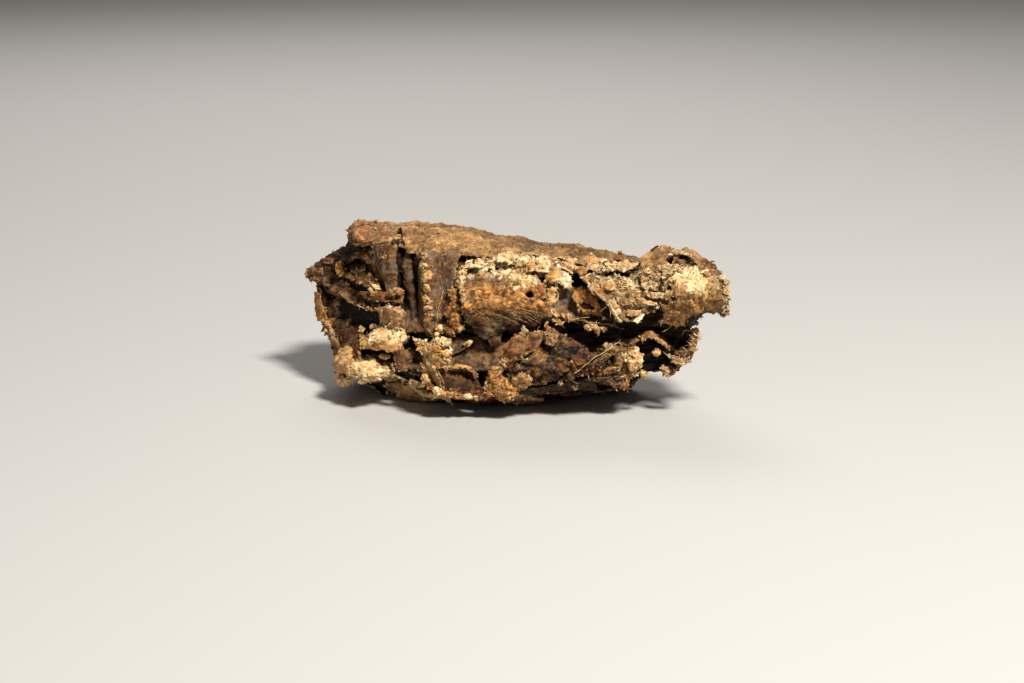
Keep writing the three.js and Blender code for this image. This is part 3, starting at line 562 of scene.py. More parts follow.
# -------------------------------------------------------------------- fibres
def fibres(to, starts, ends, sag, r, colour, rng, steps=7):
    """Thin closed strands from starts to ends, bent sideways by sag."""
    n = len(starts)
    t = np.linspace(0, 1, steps)
    bend = rng.normal(size=(n, 3)) * sag[:, None]
    kink = rng.normal(size=(n, steps, 3)) * (sag * 0.22)[:, None, None]
    L = starts[:, None] * (1 - t)[None, :, None] + ends[:, None] * t[None, :, None] + np.sin(math.pi * t)[None, :, None] * bend[:, None] + kink
    D = np.gradient(L, axis=1)
    D /= np.linalg.norm(D, axis=-1, keepdims=True) + 1e-9
    ref = np.where(np.abs(D[..., 2:3]) < 0.9, np.array([0, 0, 1.0]), np.array([1.0, 0, 0]))
    A = np.cross(D, ref)
    A /= np.linalg.norm(A, axis=-1, keepdims=True) + 1e-9
    B = np.cross(D, A)
    sides = 5
    taper = (0.35 + 0.65 * np.sin(math.pi * np.clip(t * 0.92 + 0.04, 0, 1)) ** 0.6)[None, :] * r[:, None]
    ang = np.arange(sides) * 2 * math.pi / sides
    ring = L[:, :, None] + taper[..., None, None] * (np.cos(ang)[None, None, :, None] * A[:, :, None] + 0.6 * np.sin(ang)[None, None, :, None] * B[:, :, None])
    N = ring - L[:, :, None]
    N /= np.linalg.norm(N, axis=-1, keepdims=True) + 1e-9
    m = steps * sides
    idx = np.arange(m).reshape(steps, sides)
    q = np.stack([idx[:-1], np.roll(idx, -1, 1)[:-1], np.roll(idx, -1, 1)[1:], idx[1:]], -1).reshape(-1, 4)[:, ::-1]
    caps = [(0, k + 1, k) for k in range(1, sides - 1)] + [(m - sides, m - sides + k, m - sides + k + 1) for k in range(1, sides - 1)]
    caps = np.array(caps)[:, ::-1]
    quads = (q[None] + (np.arange(n) * m)[:, None, None]).reshape(-1, 4)
    tris = (caps[None] + (np.arange(n) * m)[:, None, None]).reshape(-1, 3)
    P = ring.reshape(-1, 3)
    col = np.clip(np.repeat(colour, m, 0) * rng.uniform(0.85, 1.1, (len(P), 1)), 0.003, 0.95)
    ex = np.stack([np.full(len(P), 0.7), np.full(len(P), 0.3), P[:, 0], P[:, 1], P[:, 2]], -1)
    bag(to).add(P, N.reshape(-1, 3), quads, tris, col, ex)


# ------------------------------------------------------------------ the body
SECTIONS = [
    (-18.6, [(2.6, 5.4), (3.4, 6.4), (4.5, 7.5), (5.5, 8.8), (6, 9.8), (7.3, 10.4), (8.0, 9.6), (8.0, 7.8), (7.1, 6.2), (5.4, 5.3), (3.8, 5.0)]),
    (-17.0, [(-0.6, 3.2), (1.0, 4.8), (3.2, 7.4), (4.8, 9.6), (6, 11.6), (8.5, 12.4), (9.4, 11), (9.4, 7.5), (8.1, 4.4), (5, 2.8), (2.0, 2.6)]),
    (-15, [(-3, 2.8), (-1.5, 5), (1, 7.6), (2.5, 10.5), (4, 14), (9.3, 14.2), (10.2, 12), (10.3, 8), (9, 3.6), (5, 0.8), (0.2, 1.4)]),
    (-12, [(-3.5, 3.2), (-3, 5.5), (-1.8, 8), (0, 11), (1, 14.2), (9.2, 14.3), (10.3, 12), (10.5, 8), (9.2, 3.2), (5.6, -.5), (-1, -.1)]),
    (-9, [(-4.8, 1.9), (-5.5, 4.5), (-4, 8), (-2, 11.5), (0, 14), (8.5, 14.2), (9.8, 12), (10.2, 8), (8.8, 3), (5.4, -.5), (-2, -.5)]),
    (-6, [(-6, 1.9), (-6.2, 4.5), (-4.5, 8), (-2.5, 11.5), (-.3, 13.9), (7.5, 14), (9, 12), (9.5, 8), (8.2, 3), (5, -.5), (-2.2, -.5)]),
    (-3, [(-6.5, 2), (-6.5, 4.5), (-5, 8), (-3.5, 11.5), (-1, 13.7), (6.3, 13.7), (8, 11.8), (8.6, 7.8), (7.5, 3), (4.5, -.5), (-2.3, -.5)]),
    (0, [(-6.5, 2.2), (-7, 4.5), (-5.2, 8), (-4, 11.5), (-1.2, 13.5), (5.1, 13.5), (7, 11.5), (7.8, 7.5), (6.8, 3), (4, -.5), (-2.3, -.5)]),
    (3, [(-6.2, 2.6), (-6.6, 4.5), (-4, 7.8), (-3.6, 11.2), (-1, 13.3), (4.1, 13.3), (6, 11.3), (7, 7.4), (6, 3), (3.5, -.5), (-1.2, -.5)]),
    (6, [(-5.8, 2.8), (-6.2, 4.6), (-3, 7.6), (-2.6, 11), (-1.2, 13.1), (3.3, 13.2), (5.2, 11.2), (6.2, 7.4), (5.2, 3), (2.8, -.5), (-0.4, -.5)]),
    (9, [(-5.2, 3.2), (-5.6, 4.8), (-3, 7.4), (-4, 10.8), (-2, 12.8), (2.3, 12.9), (4.3, 11), (5.2, 7.4), (4.2, 3.2), (2.8, .2), (0.8, .3)]),
    (12, [(-4.6, 3.6), (-4.8, 5), (-3.2, 7.4), (-4.4, 10.6), (-2.6, 12.5), (1.1, 12.8), (3.2, 11), (4, 7.5), (3, 3.9), (1.8, 1.6), (-0.6, 2.0)]),
    (14.6, [(-3.8, 4.6), (-4.0, 6.0), (-3.2, 8), (-4.0, 10.5), (-4, 12.8), (-.2, 13.4), (1.5, 11.5), (2.2, 8.4), (1.5, 6.4), (0, 5.0), (-2.0, 4.8)]),
    (16.6, [(-4.2, 7.6), (-4.3, 8.4), (-4.2, 9.4), (-4.6, 10.6), (-4.8, 12.4), (-2, 13.0), (-.6, 11.8), (-.2, 10), (-.6, 8.8), (-1.6, 8.0), (-3, 7.4)]),
]


def loft():
    rows = []
    for x, loop in SECTIONS:
        rows.append(np.array([(x, y, z) for y, z in loop], float))
    def shrunk(row, out, keep):
        m = row.mean(0)
        r = m + (row - m) * keep
        r[:, 0] = row[0, 0] + out
        return r
    rows = [shrunk(rows[0], -0.5, 0.45)] + rows + [shrunk(rows[-1], 1.0, 0.5)]
    return np.array(rows) + SHIFT


LOFT = loft()


def body_at(s, h):
    """Points of the body: s round the section from 0 to 1, h along it from 0 to 1."""
    s, h = np.asarray(s, float), np.asarray(h, float)
    n = LOFT.shape[0] - 1
    m = LOFT.shape[1]
    x = np.clip(h, 0, 1) * n
    i = np.minimum(np.floor(x).astype(int), n - 1)
    a = (s % 1) * m
    j = np.floor(a).astype(int)
    tx, ta = (x - i)[..., None], (a - j)[..., None]
    def col(k):
        jj = (j + k) % m
        g = [LOFT[np.clip(i + q, 0, n), jj] for q in (-1, 0, 1, 2)]
        return catmull(g[0], g[1], g[2], g[3], tx)
    return catmull(col(-1), col(0), col(1), col(2), ta)


def shingles(P, direction, length, seed):
    """Overlapping torn layers: height 0..1, distance to the lip, depth under it, and the layer's number."""
    d = np.array(direction, float)
    d /= np.linalg.norm(d)
    ph = (P @ d) / length + 0.85 * fbm(P, length * 1.7, 3, seed) + 0.18 * fbm(P, 1.1, 4, seed + 5, 0.6)
    k = np.floor(ph)
    f = ph - k
    own = scramble(k.astype(np.int64), 0 * k.astype(np.int64) + 7, 0 * k.astype(np.int64), seed) % 1000 / 999.0
    return f, (1 - f) * length, f * length, own




def make_body():
    ns, nh = 232, 158
    s = np.arange(ns) / ns
    h = np.linspace(0, 1, nh)
    S, H = np.meshgrid(s, h)
    P = body_at(S, H)
    mid = P.mean(1, keepdims=True)
    # close the ends with shrinking rings
    def cap(ring, m, out):
        rings = []
        for k, t in enumerate((0.8, 0.6, 0.4, 0.2, 0.06)):
            r = m + (ring - m) * t
            r[:, 0] = ring[:, 0] + out * (1 - t * t)
            rings.append(r)
        return rings
    left = cap(P[0], mid[0], -0.5)[::-1]
    right = cap(P[-1], mid[-1], 0.6)
    P = np.concatenate([np.array(left), P, np.array(right)])
    nh = len(P)
    du = np.roll(P, -1, 1) - np.roll(P, 1, 1)
    dv = np.gradient(P, axis=0)
    N = np.cross(du, dv)
    N /= np.linalg.norm(N, axis=-1, keepdims=True) + 1e-9
    out = P - P.mean(1, keepdims=True)
    if (N * out).sum(-1).mean() < 0:
        N = -N
        flip = True
    else:
        flip = False
    seed = 900
    front = smooth(0.15, -0.35, N[..., 1] + 0.15 * N[..., 2]) * smooth(2.5, -1.0, P[..., 1] - 0.0)
    low_front = front * smooth(3.6, 2.2, P[..., 2])
    behind = np.clip(1 - front, 0, 1)
    # big crumples
    P = P + N * (0.45 * fbm(P, 4.2, 3, seed) + 0.22 * fbm(P, 1.6, 3, seed + 1))[..., None] * (0.35 + 0.65 * behind)[..., None]
    f1, lip1, under1, own1 = shingles(P, (0.55, 0.1, 1.0), 3.1, seed + 11)
    f2, lip2, under2, own2 = shingles(P, (1.0, -0.2, -0.35), 3.8, seed + 12)
    top = smooth(0.55, 0.85, N[..., 2])
    amp = behind * (0.75 - 0.45 * top)
    h1 = f1 * 0.75 + 0.55 * own1 + 0.25 * fbm(P, 2.2, 2, seed + 21)
    h2 = f2 * 0.75 + 0.55 * own2 + 0.25 * fbm(P, 2.6, 2, seed + 22) - 0.1
    first = h1 > h2
    height = np.where(first, h1, h2)
    lip = np.where(first, lip1, lip2)
    under = np.where(first, under1, under2)
    own = np.where(first, own1, own2)
    edge = np.exp(-lip / 0.3) * behind * (1 - 0.5 * top)
    P = P + N * (amp * (height - 0.5))[..., None]
    p1, _ = pebbles(P, 0.8, seed + 31)
    p2, _ = pebbles(P, 0.4, seed + 32)
    crumb = 0.6 * p1 + 0.4 * p2
    lumpy = np.clip(0.25 + edge + 0.5 * smooth(0.1, 0.5, fbm(P, 3.0, 3, seed + 33)), 0, 1)
    P = P + N * ((crumb - 0.5) * 0.16 * lumpy + 0.06 * fbm(P, 0.6, 3, seed + 34))[..., None]
    layer = fbm(np.stack([0.3 * P[..., 0] + 0.5 * P[..., 2], 0.4 * P[..., 1], 2.0 * P[..., 2] - 0.3 * P[..., 0]], -1), 1.0, 4, seed + 41, 0.6)
    P = P + N * (0.32 * front * layer)[..., None]
    P[..., 2] = np.maximum(P[..., 2], 0.0)
    low = np.clip((0.35 + 0.5 * crumb * lumpy + 0.25 * (1 - lumpy)) + 0.25 * fbm(P, 0.5, 3, seed + 35), 0, 1.2)
    back_look = {"a": "bark", "b": "brown", "patch": 3.2, "rust": 0.5, "rim": "sand"}
    col = tint_of(P, back_look, seed, edge, low, 0 * edge)
    # painted shadow under each layer's lip, and a random tone per layer
    col = col * (0.75 + 0.5 * own)[..., None] * (0.45 + 0.55 * smooth(0, 0.55, under))[..., None]
    tops = tint_of(P, {"a": "tan", "b": "bark", "patch": 3.0, "rust": 0.25, "rim": "cream"}, seed + 3, edge * 0.6, low, 0 * edge)
    col = lerp(col, tops, top)
    # painted shade: the body's front, seen only in the gaps between the layers, is near black, with bark streaks of its
    # layers
    shaded_inner = tint_of(P, {"a": "umber", "b": "dark", "patch": 2.0, "rust": 0.2, "rim": "brown"}, seed + 4, 0 * edge, low * 0.6, 0 * edge)
    shaded_inner = lerp(shaded_inner, COL["bark"] * (0.4 + 0.5 * low)[..., None], smooth(0.0, 0.5, layer) * 0.7)
    col = lerp(col, shaded_inner, np.clip(front, 0, 1))
    # painted shade on faces that turn downward
    col = lerp(col, col * 0.35, smooth(-0.25, -0.75, N[..., 2]))
    ex = np.stack([edge, 0.5 * np.ones_like(edge), P[..., 0], P[..., 2] + P[..., 1], np.full_like(edge, 3.0)], -1)
    idx = np.arange(nh * ns).reshape(nh, ns)
    nx = np.roll(idx, -1, 1)
    q = np.stack([idx[:-1], nx[:-1], nx[1:], idx[1:]], -1).reshape(-1, 4)
    if flip:
        q = q[:, ::-1]
    # pole points
    c0, c1 = P[0].mean(0), P[-1].mean(0)
    Pall = np.concatenate([P.reshape(-1, 3), [c0, c1]])
    Nall = np.concatenate([N.reshape(-1, 3), [[-1, 0, 0], [1, 0, 0]]])
    k0, k1 = nh * ns, nh * ns + 1
    t0 = np.stack([idx[0], np.full(ns, k0), nx[0]], 1)
    t1 = np.stack([nx[-1], np.full(ns, k1), idx[-1]], 1)
    tris = np.concatenate([t0, t1])
    if flip:
        tris = tris[:, ::-1]
    Call = np.concatenate([col.reshape(-1, 3), col[0, :1], col[-1, :1]])
    Xall = np.concatenate([ex.reshape(-1, 5), ex[0, :1], ex[-1, :1]])
    bag("nugget_body").add(Pall, Nall, q, tris, Call, Xall)
    return {"P": P.reshape(-1, 3), "N": N.reshape(-1, 3), "edge": edge.reshape(-1), "crust": (lumpy * behind).reshape(-1),
            "col": col.reshape(-1, 3), "behind": behind.reshape(-1), "top": top.reshape(-1), "h": 0.2}


# ------------------------------------------------------------ the front, left
rng = np.random.default_rng(20117)
made = {}

TOP = {"a": "bark", "b": "tan", "patch": 2.6, "rust": 0.35, "rim": "sand", "crust": "sand", "graining": 0.8}
FOLD = {"a": "grey", "b": "brown", "patch": 1.6, "rust": 0.2, "rim": "sand", "crust": "sand"}
PAGE = {"a": "bark", "b": "brown", "patch": 1.1, "rust": 0.5, "rim": "tan", "crust": "tan"}
WALL = {"a": "brown", "b": "umber", "patch": 1.5, "rust": 0.6, "rim": "bark", "crust": "tan"}
SHELL = {"a": "brown", "b": "slate", "patch": 1.4, "rust": 0.55, "rim": "sand", "crust": "cream"}
DARKF = {"a": "slate", "b": "umber", "patch": 1.3, "rust": 0.35, "rim": "tan", "crust": "gold"}
GREY = {"a": "bark", "b": "slate", "patch": 1.3, "rust": 0.2, "rim": "bark", "rimming": 0.5, "crust": "tan"}
FLAKE = {"a": "tan", "b": "bark", "patch": 0.9, "rust": 0.3, "rim": "cream", "crust": "cream"}
RUSTY = {"a": "gold", "b": "rust", "patch": 0.8, "rust": 0.4, "rim": "sand", "crust": "gold"}
BOWL = {"a": "brown", "b": "umber", "patch": 1.0, "rust": 0.4, "rim": "tan", "crust": "sand"}
CRUMB = {"a": "tan", "b": "gold", "patch": 0.8, "rust": 0.25, "rim": "cream", "crust": "cream", "graining": 0.9}
CREAM = {"a": "sand", "b": "cream", "patch": 1.0, "rust": 0.1, "rim": "cream", "crust": "cream", "graining": 0.9}
KNOB = {"a": "tan", "b": "gold", "patch": 1.0, "rust": 0.25, "rim": "cream", "crust": "cream", "graining": 0.8}
TWIG = {"a": "tan", "b": "bark", "patch": 0.8, "rust": 0.2, "rim": "cream"}
# a near-black look for sheets that stand for painted shade in gaps, hollows and the underside
SHADE_DARK = {"a": "umber", "b": "dark", "patch": 1.2, "rust": 0.25, "rim": "brown", "crust": "tan"}

made["body"] = make_body()

def slab_paint(u, v, P, col, low, cr):
    blotch = fbm(P, 2.8, 4, 1771, 0.6)
    col = lerp(col, lerp(COL["brown"], COL["rust"], 0.35) * (0.6 + 0.7 * low)[..., None], smooth(0.02, 0.42, blotch) * 0.5)
    return col * (0.9 - 0.34 * smooth(0.28, 0.75, u))[..., None]


made["slab"] = sheet("top_layers", [
    [(356, 248, 9.9), (387, 245, 10.5), (430, 247, 9.8), (480, 253, 8.3), (535, 263, 6.0), (590, 269, 4.2), (638, 280, 1.7)],
    [(350, 231, 9.2), (385, 226, 10), (430, 228, 9), (480, 236, 7.5), (535, 247, 5), (590, 253, 3), (640, 263, 0.5)],
    [(349, 235, 5.6), (385, 232, 5.6), (430, 237, 4), (480, 242, 3), (535, 249, 2), (590, 255, 1), (640, 264, -0.6)],
    [(353, 243, 2), (385, 244, 1), (430, 250, -0.6), (480, 253, -1), (535, 256, -1), (590, 261, -1.4), (640, 267, -2)]],
    TOP, h=0.17, thick=0.7, torn=(0.6, 0.4, 1.2, 0.5), fold=0.34, foldsize=2.4, fine=0.07, grain=0.75, seed=101, toward=np.array([0, 0, 1.0]), crustsize=0.6, bulk=0.22, paint=slab_paint)
made["lobe"] = sheet("top_layers", [
    [(398, 230, 4.4), (440, 233, 3.4), (480, 240, 2.2), (522, 247, 0.9)],
    [(402, 238, 1.0), (440, 244, 0.2), (480, 248, -0.2), (522, 253, -0.8)],
    [(404, 246, -0.3), (438, 250, -1.3), (478, 253, -1.7), (518, 257, -2.0)],
    [(406, 254, -0.5), (436, 257, -1.9), (470, 258, -2.2), (505, 260, -2.3)]],
    TOP, h=0.15, thick=0.6, torn=(0.6, 0.5, 0.4, 0.3), fold=0.26, foldsize=1.6, fine=0.07, grain=0.7, seed=103, toward=np.array([0, -0.3, 1.0]))
made["corner"] = lump("top_layers", (360, 233, 5.0), (1.15, 3.6, 0.95), {"a": "bark", "b": "gold", "patch": 1.2, "rust": 0.8, "crust": "tan", "crusting": 0.4},
                      h=0.15, seed=105, rough=0.22, crumbs=(0.7, 0.12))
made["corner_flap"] = sheet("top_layers", [
    [(352, 225, 7.5), (362, 223, 7.5), (374, 223, 7.0)],
    [(349, 232, 4.0), (360, 232, 3.0), (373, 232, 3.0)],
    [(350, 241, 2.4), (361, 244, 1.4), (374, 245, 1.0)]], {"a": "rust", "b": "bark", "patch": 1.2, "rust": 0.5, "rim": "tan"}, h=0.13, thick=0.4,
    torn=(0.5, 0.3, 0.3, 0.5), seed=107, grain=0.3, fold=0.3)

# painted shade: the shoulder is a darkened copy of the wall look
made["shoulder"] = sheet("left_pages", [
    [(352, 240, 8.5), (360, 246, 5), (369, 248, 2.6)],
    [(338, 252, 8), (346, 257, 5.5), (354, 262, 3)],
    [(320, 261, 8.3), (330, 265, 6.5), (343, 268, 4.4)]], WALL, h=0.11, thick=0.3, torn=(0.5, 0.5, 0.2, 0.4), seed=111, grain=0.1, cracks=(1.2, 0.6), paint=lambda u, v, P, col, low, cr: 0.62 * col)
# painted shade: this layer is a darkened copy of its look
made["shoulder_low"] = sheet("left_pages", [
    [(334, 257, 7.6), (350, 261, 4.8), (371, 264, 2.4)],
    [(322, 264, 7.6), (340, 269, 5.0), (364, 272, 2.2)]], {"a": "brown", "b": "umber", "patch": 1.0, "rust": 0.6, "rim": "bark"}, h=0.11, thick=0.2, torn=(0.5, 0.3, 0.2, 0.4), seed=112, paint=lambda u, v, P, col, low, cr: 0.45 * col)
made["inner_flake"] = sheet("left_pages", [
    [(352, 253, 3.4), (361, 251, 3.0), (368, 252, 2.6)],
    [(352, 259, 3.0), (361, 260, 2.4), (372, 262, 1.6)]], {"a": "rust", "b": "brown", "patch": 0.8, "rust": 0.4, "rim": "bark"}, h=0.11, thick=0.25, torn=(0.4, 0.2, 0.4, 0.4), seed=113)
# the paint darkens the page's upper part: painted shade in the furrow between the pages
made["page_upper"] = sheet("left_pages", [
    [(342, 268, 6), (358, 270, 3.4), (372, 275, 1.2), (382, 283, -0.2)],
    [(338, 277, 5.2), (352, 281, 2.6), (366, 287, 0.4), (378, 293, -1.4)]], {"a": "brown", "b": "bark", "patch": 0.9, "rust": 0.5, "rim": "tan"},
    h=0.1, thick=0.25, torn=(0.3, 0.3, 0.3, 0.4), seed=115, fold=0.2, cracks=(0.9, 0.6), paint=lambda u, v, P, col, low, cr: col * (0.30 + 0.70 * smooth(0.30, 0.60, v))[..., None])
# the paint darkens the page's upper part: painted shade in the furrow between the pages
made["page_long"] = sheet("left_pages", [
    [(312, 267, 8.4), (328, 271, 6.4), (345, 281, 4.0), (362, 294, 1.2), (384, 303, -1.2)],
    [(306, 273, 7.6), (323, 277, 6.0), (343, 290, 3.2), (362, 302, 0.6), (382, 309, -2.0)],
    [(307, 279, 7.2), (321, 283, 5.8), (340, 297, 2.8), (358, 308, 0.2), (380, 314, -2.6)]], PAGE,
    h=0.1, thick=0.3, torn=(0.3, 0.3, 0.35, 0.35), seed=117, fold=0.2, rim=0.22, cracks=(0.9, 0.6), paint=lambda u, v, P, col, low, cr: col * (0.30 + 0.70 * smooth(0.35, 0.62, v))[..., None])
# painted shade: a dark sheet in the gap under the pages
made["wedge_gap"] = sheet("left_pages", [
    [(318, 284, 6.6), (336, 296, 4.6), (358, 305, 1.8), (382, 311, -1.0)],
    [(320, 294, 6.4), (338, 308, 4.4), (360, 320, 1.6), (382, 327, -1.0)],
    [(324, 302, 6.4), (342, 317, 4.2), (362, 328, 1.4), (382, 333, -1.2)]], {"a": "dark", "b": "dark", "patch": 1.0, "rust": 0.1, "rim": "umber", "rimming": 0.2}, h=0.14, thick=0.3,
    torn=(0.2, 0.1, 0.1, 0.2), seed=118, fine=0.03, rugged=0.05)
# painted shade: a dark sheet filling the shaded gap behind the left tip
made["tip_back"] = sheet("left_pages", [
    [(315, 262, 7.0), (325, 258, 6.8), (338, 256, 6.4)],
    [(312, 271, 7.0), (323, 268, 6.7), (338, 268, 6.2)],
    [(315, 280, 6.9), (325, 280, 6.5), (338, 280, 6.0)],
    [(317, 292, 6.9), (327, 294, 6.5), (338, 294, 6.0)]], {"a": "umber", "b": "dark", "patch": 1.0, "rust": 0.4, "rim": "bark", "rimming": 0.5}, h=0.14, thick=0.25,
    torn=(0.3, 0.3, 0.2, 0.3), seed=117, grain=0.3, fold=0.25)
# painted shade: a dark sheet in the gap between the pages
made["page_gap"] = sheet("left_pages", [
    [(330, 264, 7.4), (350, 262, 4.6), (373, 263, 2.2)],
    [(330, 277, 6.6), (350, 283, 3.8), (374, 290, 1.2)],
    [(336, 284, 5.6), (352, 291, 3.2), (374, 300, 0.8)]], {"a": "dark", "b": "umber", "patch": 1.0, "rust": 0.1, "rim": "umber", "rimming": 0.2}, h=0.14, thick=0.3,
    torn=(0.3, 0.1, 0.1, 0.2), seed=116, fine=0.03, rugged=0.05)
made["page_brown"] = sheet("left_pages", [
    [(360, 291, 1.0), (378, 292, -0.8), (404, 293, -2.2)],
    [(364, 299, 0), (382, 303, -2.2), (403, 303, -3.6)]], {"a": "rust", "b": "brown", "patch": 0.8, "rust": 0.4, "rim": "tan"}, h=0.11, thick=0.3, torn=(0.4, 0.3, 0.3, 0.4), seed=119)
made["left_tip"] = sheet("left_pages", [
    [(309, 268, 7.6), (316, 267, 6.8), (324, 268, 6.2)],
    [(307, 274, 7.2), (315, 274, 6.2), (324, 274, 5.8)],
    [(309, 281, 7.0), (316, 281, 6.0), (324, 282, 5.6)]], {"a": "bark", "b": "brown", "patch": 0.8, "rust": 0.4, "rim": "tan"}, h=0.09, thick=0.18, torn=(0.5, 0.3, 0.4, 0.5), seed=123, grain=0.2, cracks=(0.8, 0.7), fold=0.35, foldsize=0.9)
made["left_tip2"] = sheet("left_pages", [
    [(316, 262, 7.8), (325, 259, 7.0), (335, 258, 6.4)],
    [(314, 267, 7.4), (325, 265, 6.4), (335, 265, 5.8)]], {"a": "bark", "b": "rust", "patch": 0.8, "rust": 0.3, "rim": "tan"}, h=0.1, thick=0.22, torn=(0.4, 0.3, 0.3, 0.3), seed=124, fold=0.3, foldsize=0.8)
made["block_a"] = clump("left_pages", (343, 271, 4.6), (0.55, 0.6, 0.7), {**CRUMB, "crust": "sand"}, 125, n=24, tilt=(0, 12, 0))
made["block_b"] = clump("left_pages", (374, 292, -1.0), (0.36, 0.5, 0.42), CREAM, 127, n=12)
made["block_c"] = clump("left_pages", (396, 292, -2.6), (0.85, 0.6, 0.42), {**CRUMB, "crust": "sand"}, 129, n=30, tilt=(0, -8, 0))
made["bar"] = clump("left_pages", (385, 257, 0.0), (0.72, 0.4, 0.2), {**CREAM, "crust": "sand"}, 131, n=14, tilt=(0, -6, 0))
made["blob"] = clump("left_pages", (397, 238, 0.2), (0.42, 0.5, 0.36), CREAM, 133, n=10)
made["thin_rib"] = sheet("left_pages", [
    [(394, 240, 0.9), (396, 239, 0.6), (398, 240, 0.9)],
    [(394, 250, 0.4), (395, 249, 0.0), (397, 250, 0.5)],
    [(392, 262, 0.2), (394, 261, -0.3), (396, 262, 0.2)]], {"a": "bark", "b": "tan", "patch": 0.8, "rim": "sand"}, h=0.09, thick=0.18, torn=(0.05, 0.05, 0.2, 0.3), seed=134)

# the paint darkens the wall's upper part: painted shadow of the pages above it
made["wall"] = sheet("left_foot", [
    [(317, 291, 6.8), (323, 292, 5.8), (333, 305, 5.0), (347, 319, 3.6), (362, 327, 1.6)],
    [(320, 309, 6.2), (326, 311, 4.8), (337, 320, 3.2), (351, 328, 1.4), (364, 333, -0.6)],
    [(327, 326, 5.6), (333, 328, 3.6), (344, 333, 1.2), (355, 337, -0.8), (366, 341, -2.8)],
    [(334, 345, 4), (340, 345, 1.8), (347, 345, -0.6), (356, 346, -2.8), (364, 346, -4.2)],
    [(335, 358, 3), (340, 358, 0.4), (346, 358, -2), (354, 358, -3.6), (362, 358, -5)],
    [(340, 372, 1), (344, 374, -1.4), (349, 373, -3.2), (355, 371, -4.8), (362, 370, -5.6)],
    [(340, 384, -1), (343, 384, -2.4), (348, 381, -3.8), (355, 378, -4.6), (360, 376, -5.2)]],
    {"a": "brown", "b": "bark", "patch": 1.6, "rust": 0.7, "rim": "tan", "crust": "sand"}, h=0.13, thick=0.5, torn=(0.35, 0.2, 0.4, 0.5),
    seed=141, fold=0.3, grain=0.3, fine=0.08, cracks=(1.6, 0.5), paint=lambda u, v, P, col, low, cr: col * (0.5 + 0.5 * smooth(0.3, 0.7, v))[..., None], crust=lambda u, v, P: 1.2 * smooth(0.55, 0.85, v) * smooth(0.0, 0.2, u))
made["wall_edge"] = sheet("left_foot", [
    [(314, 291, 6.2), (318, 291, 5.6), (323, 293, 5.0)],
    [(316, 305, 5.6), (320, 305, 4.8), (326, 308, 4.0)],
    [(320, 321, 5.0), (325, 321, 4.0), (331, 322, 3.0)]], {"a": "gold", "b": "rust", "patch": 0.9, "rust": 0.4, "rim": "sand"}, h=0.11, thick=0.25, torn=(0.3, 0.4, 0.3, 0.4), seed=142, grain=0.3)
made["foot"] = lump("left_foot", (369, 367, -3.9), (2.35, 2.5, 1.05), {**CREAM, "crusting": 0.75}, h=0.1, tilt=(0, 4, 0), seed=143, rough=0.22, crumbs=(0.3, 0.12), calm=0.55)
made["foot_top"] = lump("left_foot", (349, 361, -2.8), (1.4, 2.0, 1.3), {"a": "tan", "b": "bark", "patch": 1.1, "rust": 0.3, "crust": "sand", "crusting": 0.6}, h=0.12, seed=144, rough=0.22, crumbs=(0.4, 0.12), calm=0.5)
made["foot_toe"] = lump("left_foot", (344, 378, -2.8), (0.8, 1.2, 0.7), CREAM, h=0.1, tilt=(0, 25, 0), seed=145, rough=0.3, crumbs=(0.3, 0.14), calm=0.5)
made["dome"] = lump("left_foot", (388, 337.5, -4.3), (1.95, 1.7, 0.95), {"a": "sand", "b": "cream", "patch": 1.0, "rust": 0.05, "crust": "cream", "crusting": 0.9}, h=0.09, tilt=(0, -8, 0), seed=147, rough=0.2, crumbs=(0.3, 0.10), calm=0.7)
made["mouth_lip"] = sheet("left_foot", [
    [(360, 337, -2.5), (382, 336, -3.8), (404, 340, -4.6)],
    [(360, 343, -4.4), (380, 344, -5.6), (403, 345, -6.0)],
    [(361, 349, -4.8), (380, 351, -5.8), (400, 351, -6.2)]], {"a": "gold", "b": "tan", "patch": 0.9, "rust": 0.3, "rim": "sand"}, h=0.1, thick=0.4, torn=(0.5, 0.3, 0.1, 0.4),
    seed=149, grain=0.5)
made["tooth"] = lump("left_foot", (385, 356, -5.2), (0.5, 0.6, 0.28), CREAM, h=0.09, seed=151, crumbs=(0.3, 0.1), rough=0.3)
made["wedge"] = sheet("left_foot", [
    [(377, 308, -3.2), (390, 306, -4.4), (405, 308, -4.8)],
    [(379, 317, -3.8), (392, 317, -5.0), (406, 318, -5.1)],
    [(385, 327, -4.0), (395, 329, -5.0), (406, 327, -5.2)]], {"a": "tan", "b": "bark", "patch": 0.7, "rust": 0.2, "rim": "cream", "crust": "sand"}, h=0.1, thick=0.3, torn=(0.45, 0.3, 0.4, 0.45), seed=153, grain=0.6, fold=0.3,
    foldsize=0.9, rim=0.2)
made["pearl"] = lump("left_foot", (373, 327, -2.6), (0.32, 0.4, 0.3), {"a": "grey", "b": "cream", "patch": 0.5, "crust": "cream"}, h=0.08, seed=155, crumbs=(0.2, 0.05))
made["side_flake"] = sheet("left_foot", [
    [(393, 350, -5.2), (404, 349, -6), (414, 352, -6.4)],
    [(396, 359, -5.8), (404, 358, -6.6), (412, 360, -6.6)],
    [(398, 368, -6), (404, 370, -6.4), (409, 369, -6.4)]], {"a": "bark", "b": "brown", "patch": 0.6, "rust": 0.3, "rim": "sand", "crust": "sand"}, h=0.09, thick=0.3, torn=(0.35, 0.35, 0.3, 0.5), seed=157, grain=0.8, fold=0.25,
    foldsize=0.8)
# painted shade: a dark sheet in the gap behind the foot and the front flakes
made["gap_floor"] = sheet("left_foot", [
    [(398, 332, -1.6), (412, 334, -2.2), (424, 336, -3.2)],
    [(396, 352, -2.0), (410, 352, -2.6), (424, 352, -3.6)],
    [(396, 376, -1.6), (412, 378, -2.2), (428, 380, -3.2)]], SHADE_DARK, h=0.15, thick=0.4, torn=(0.2, 0.2, 0.2, 0.2), seed=158)

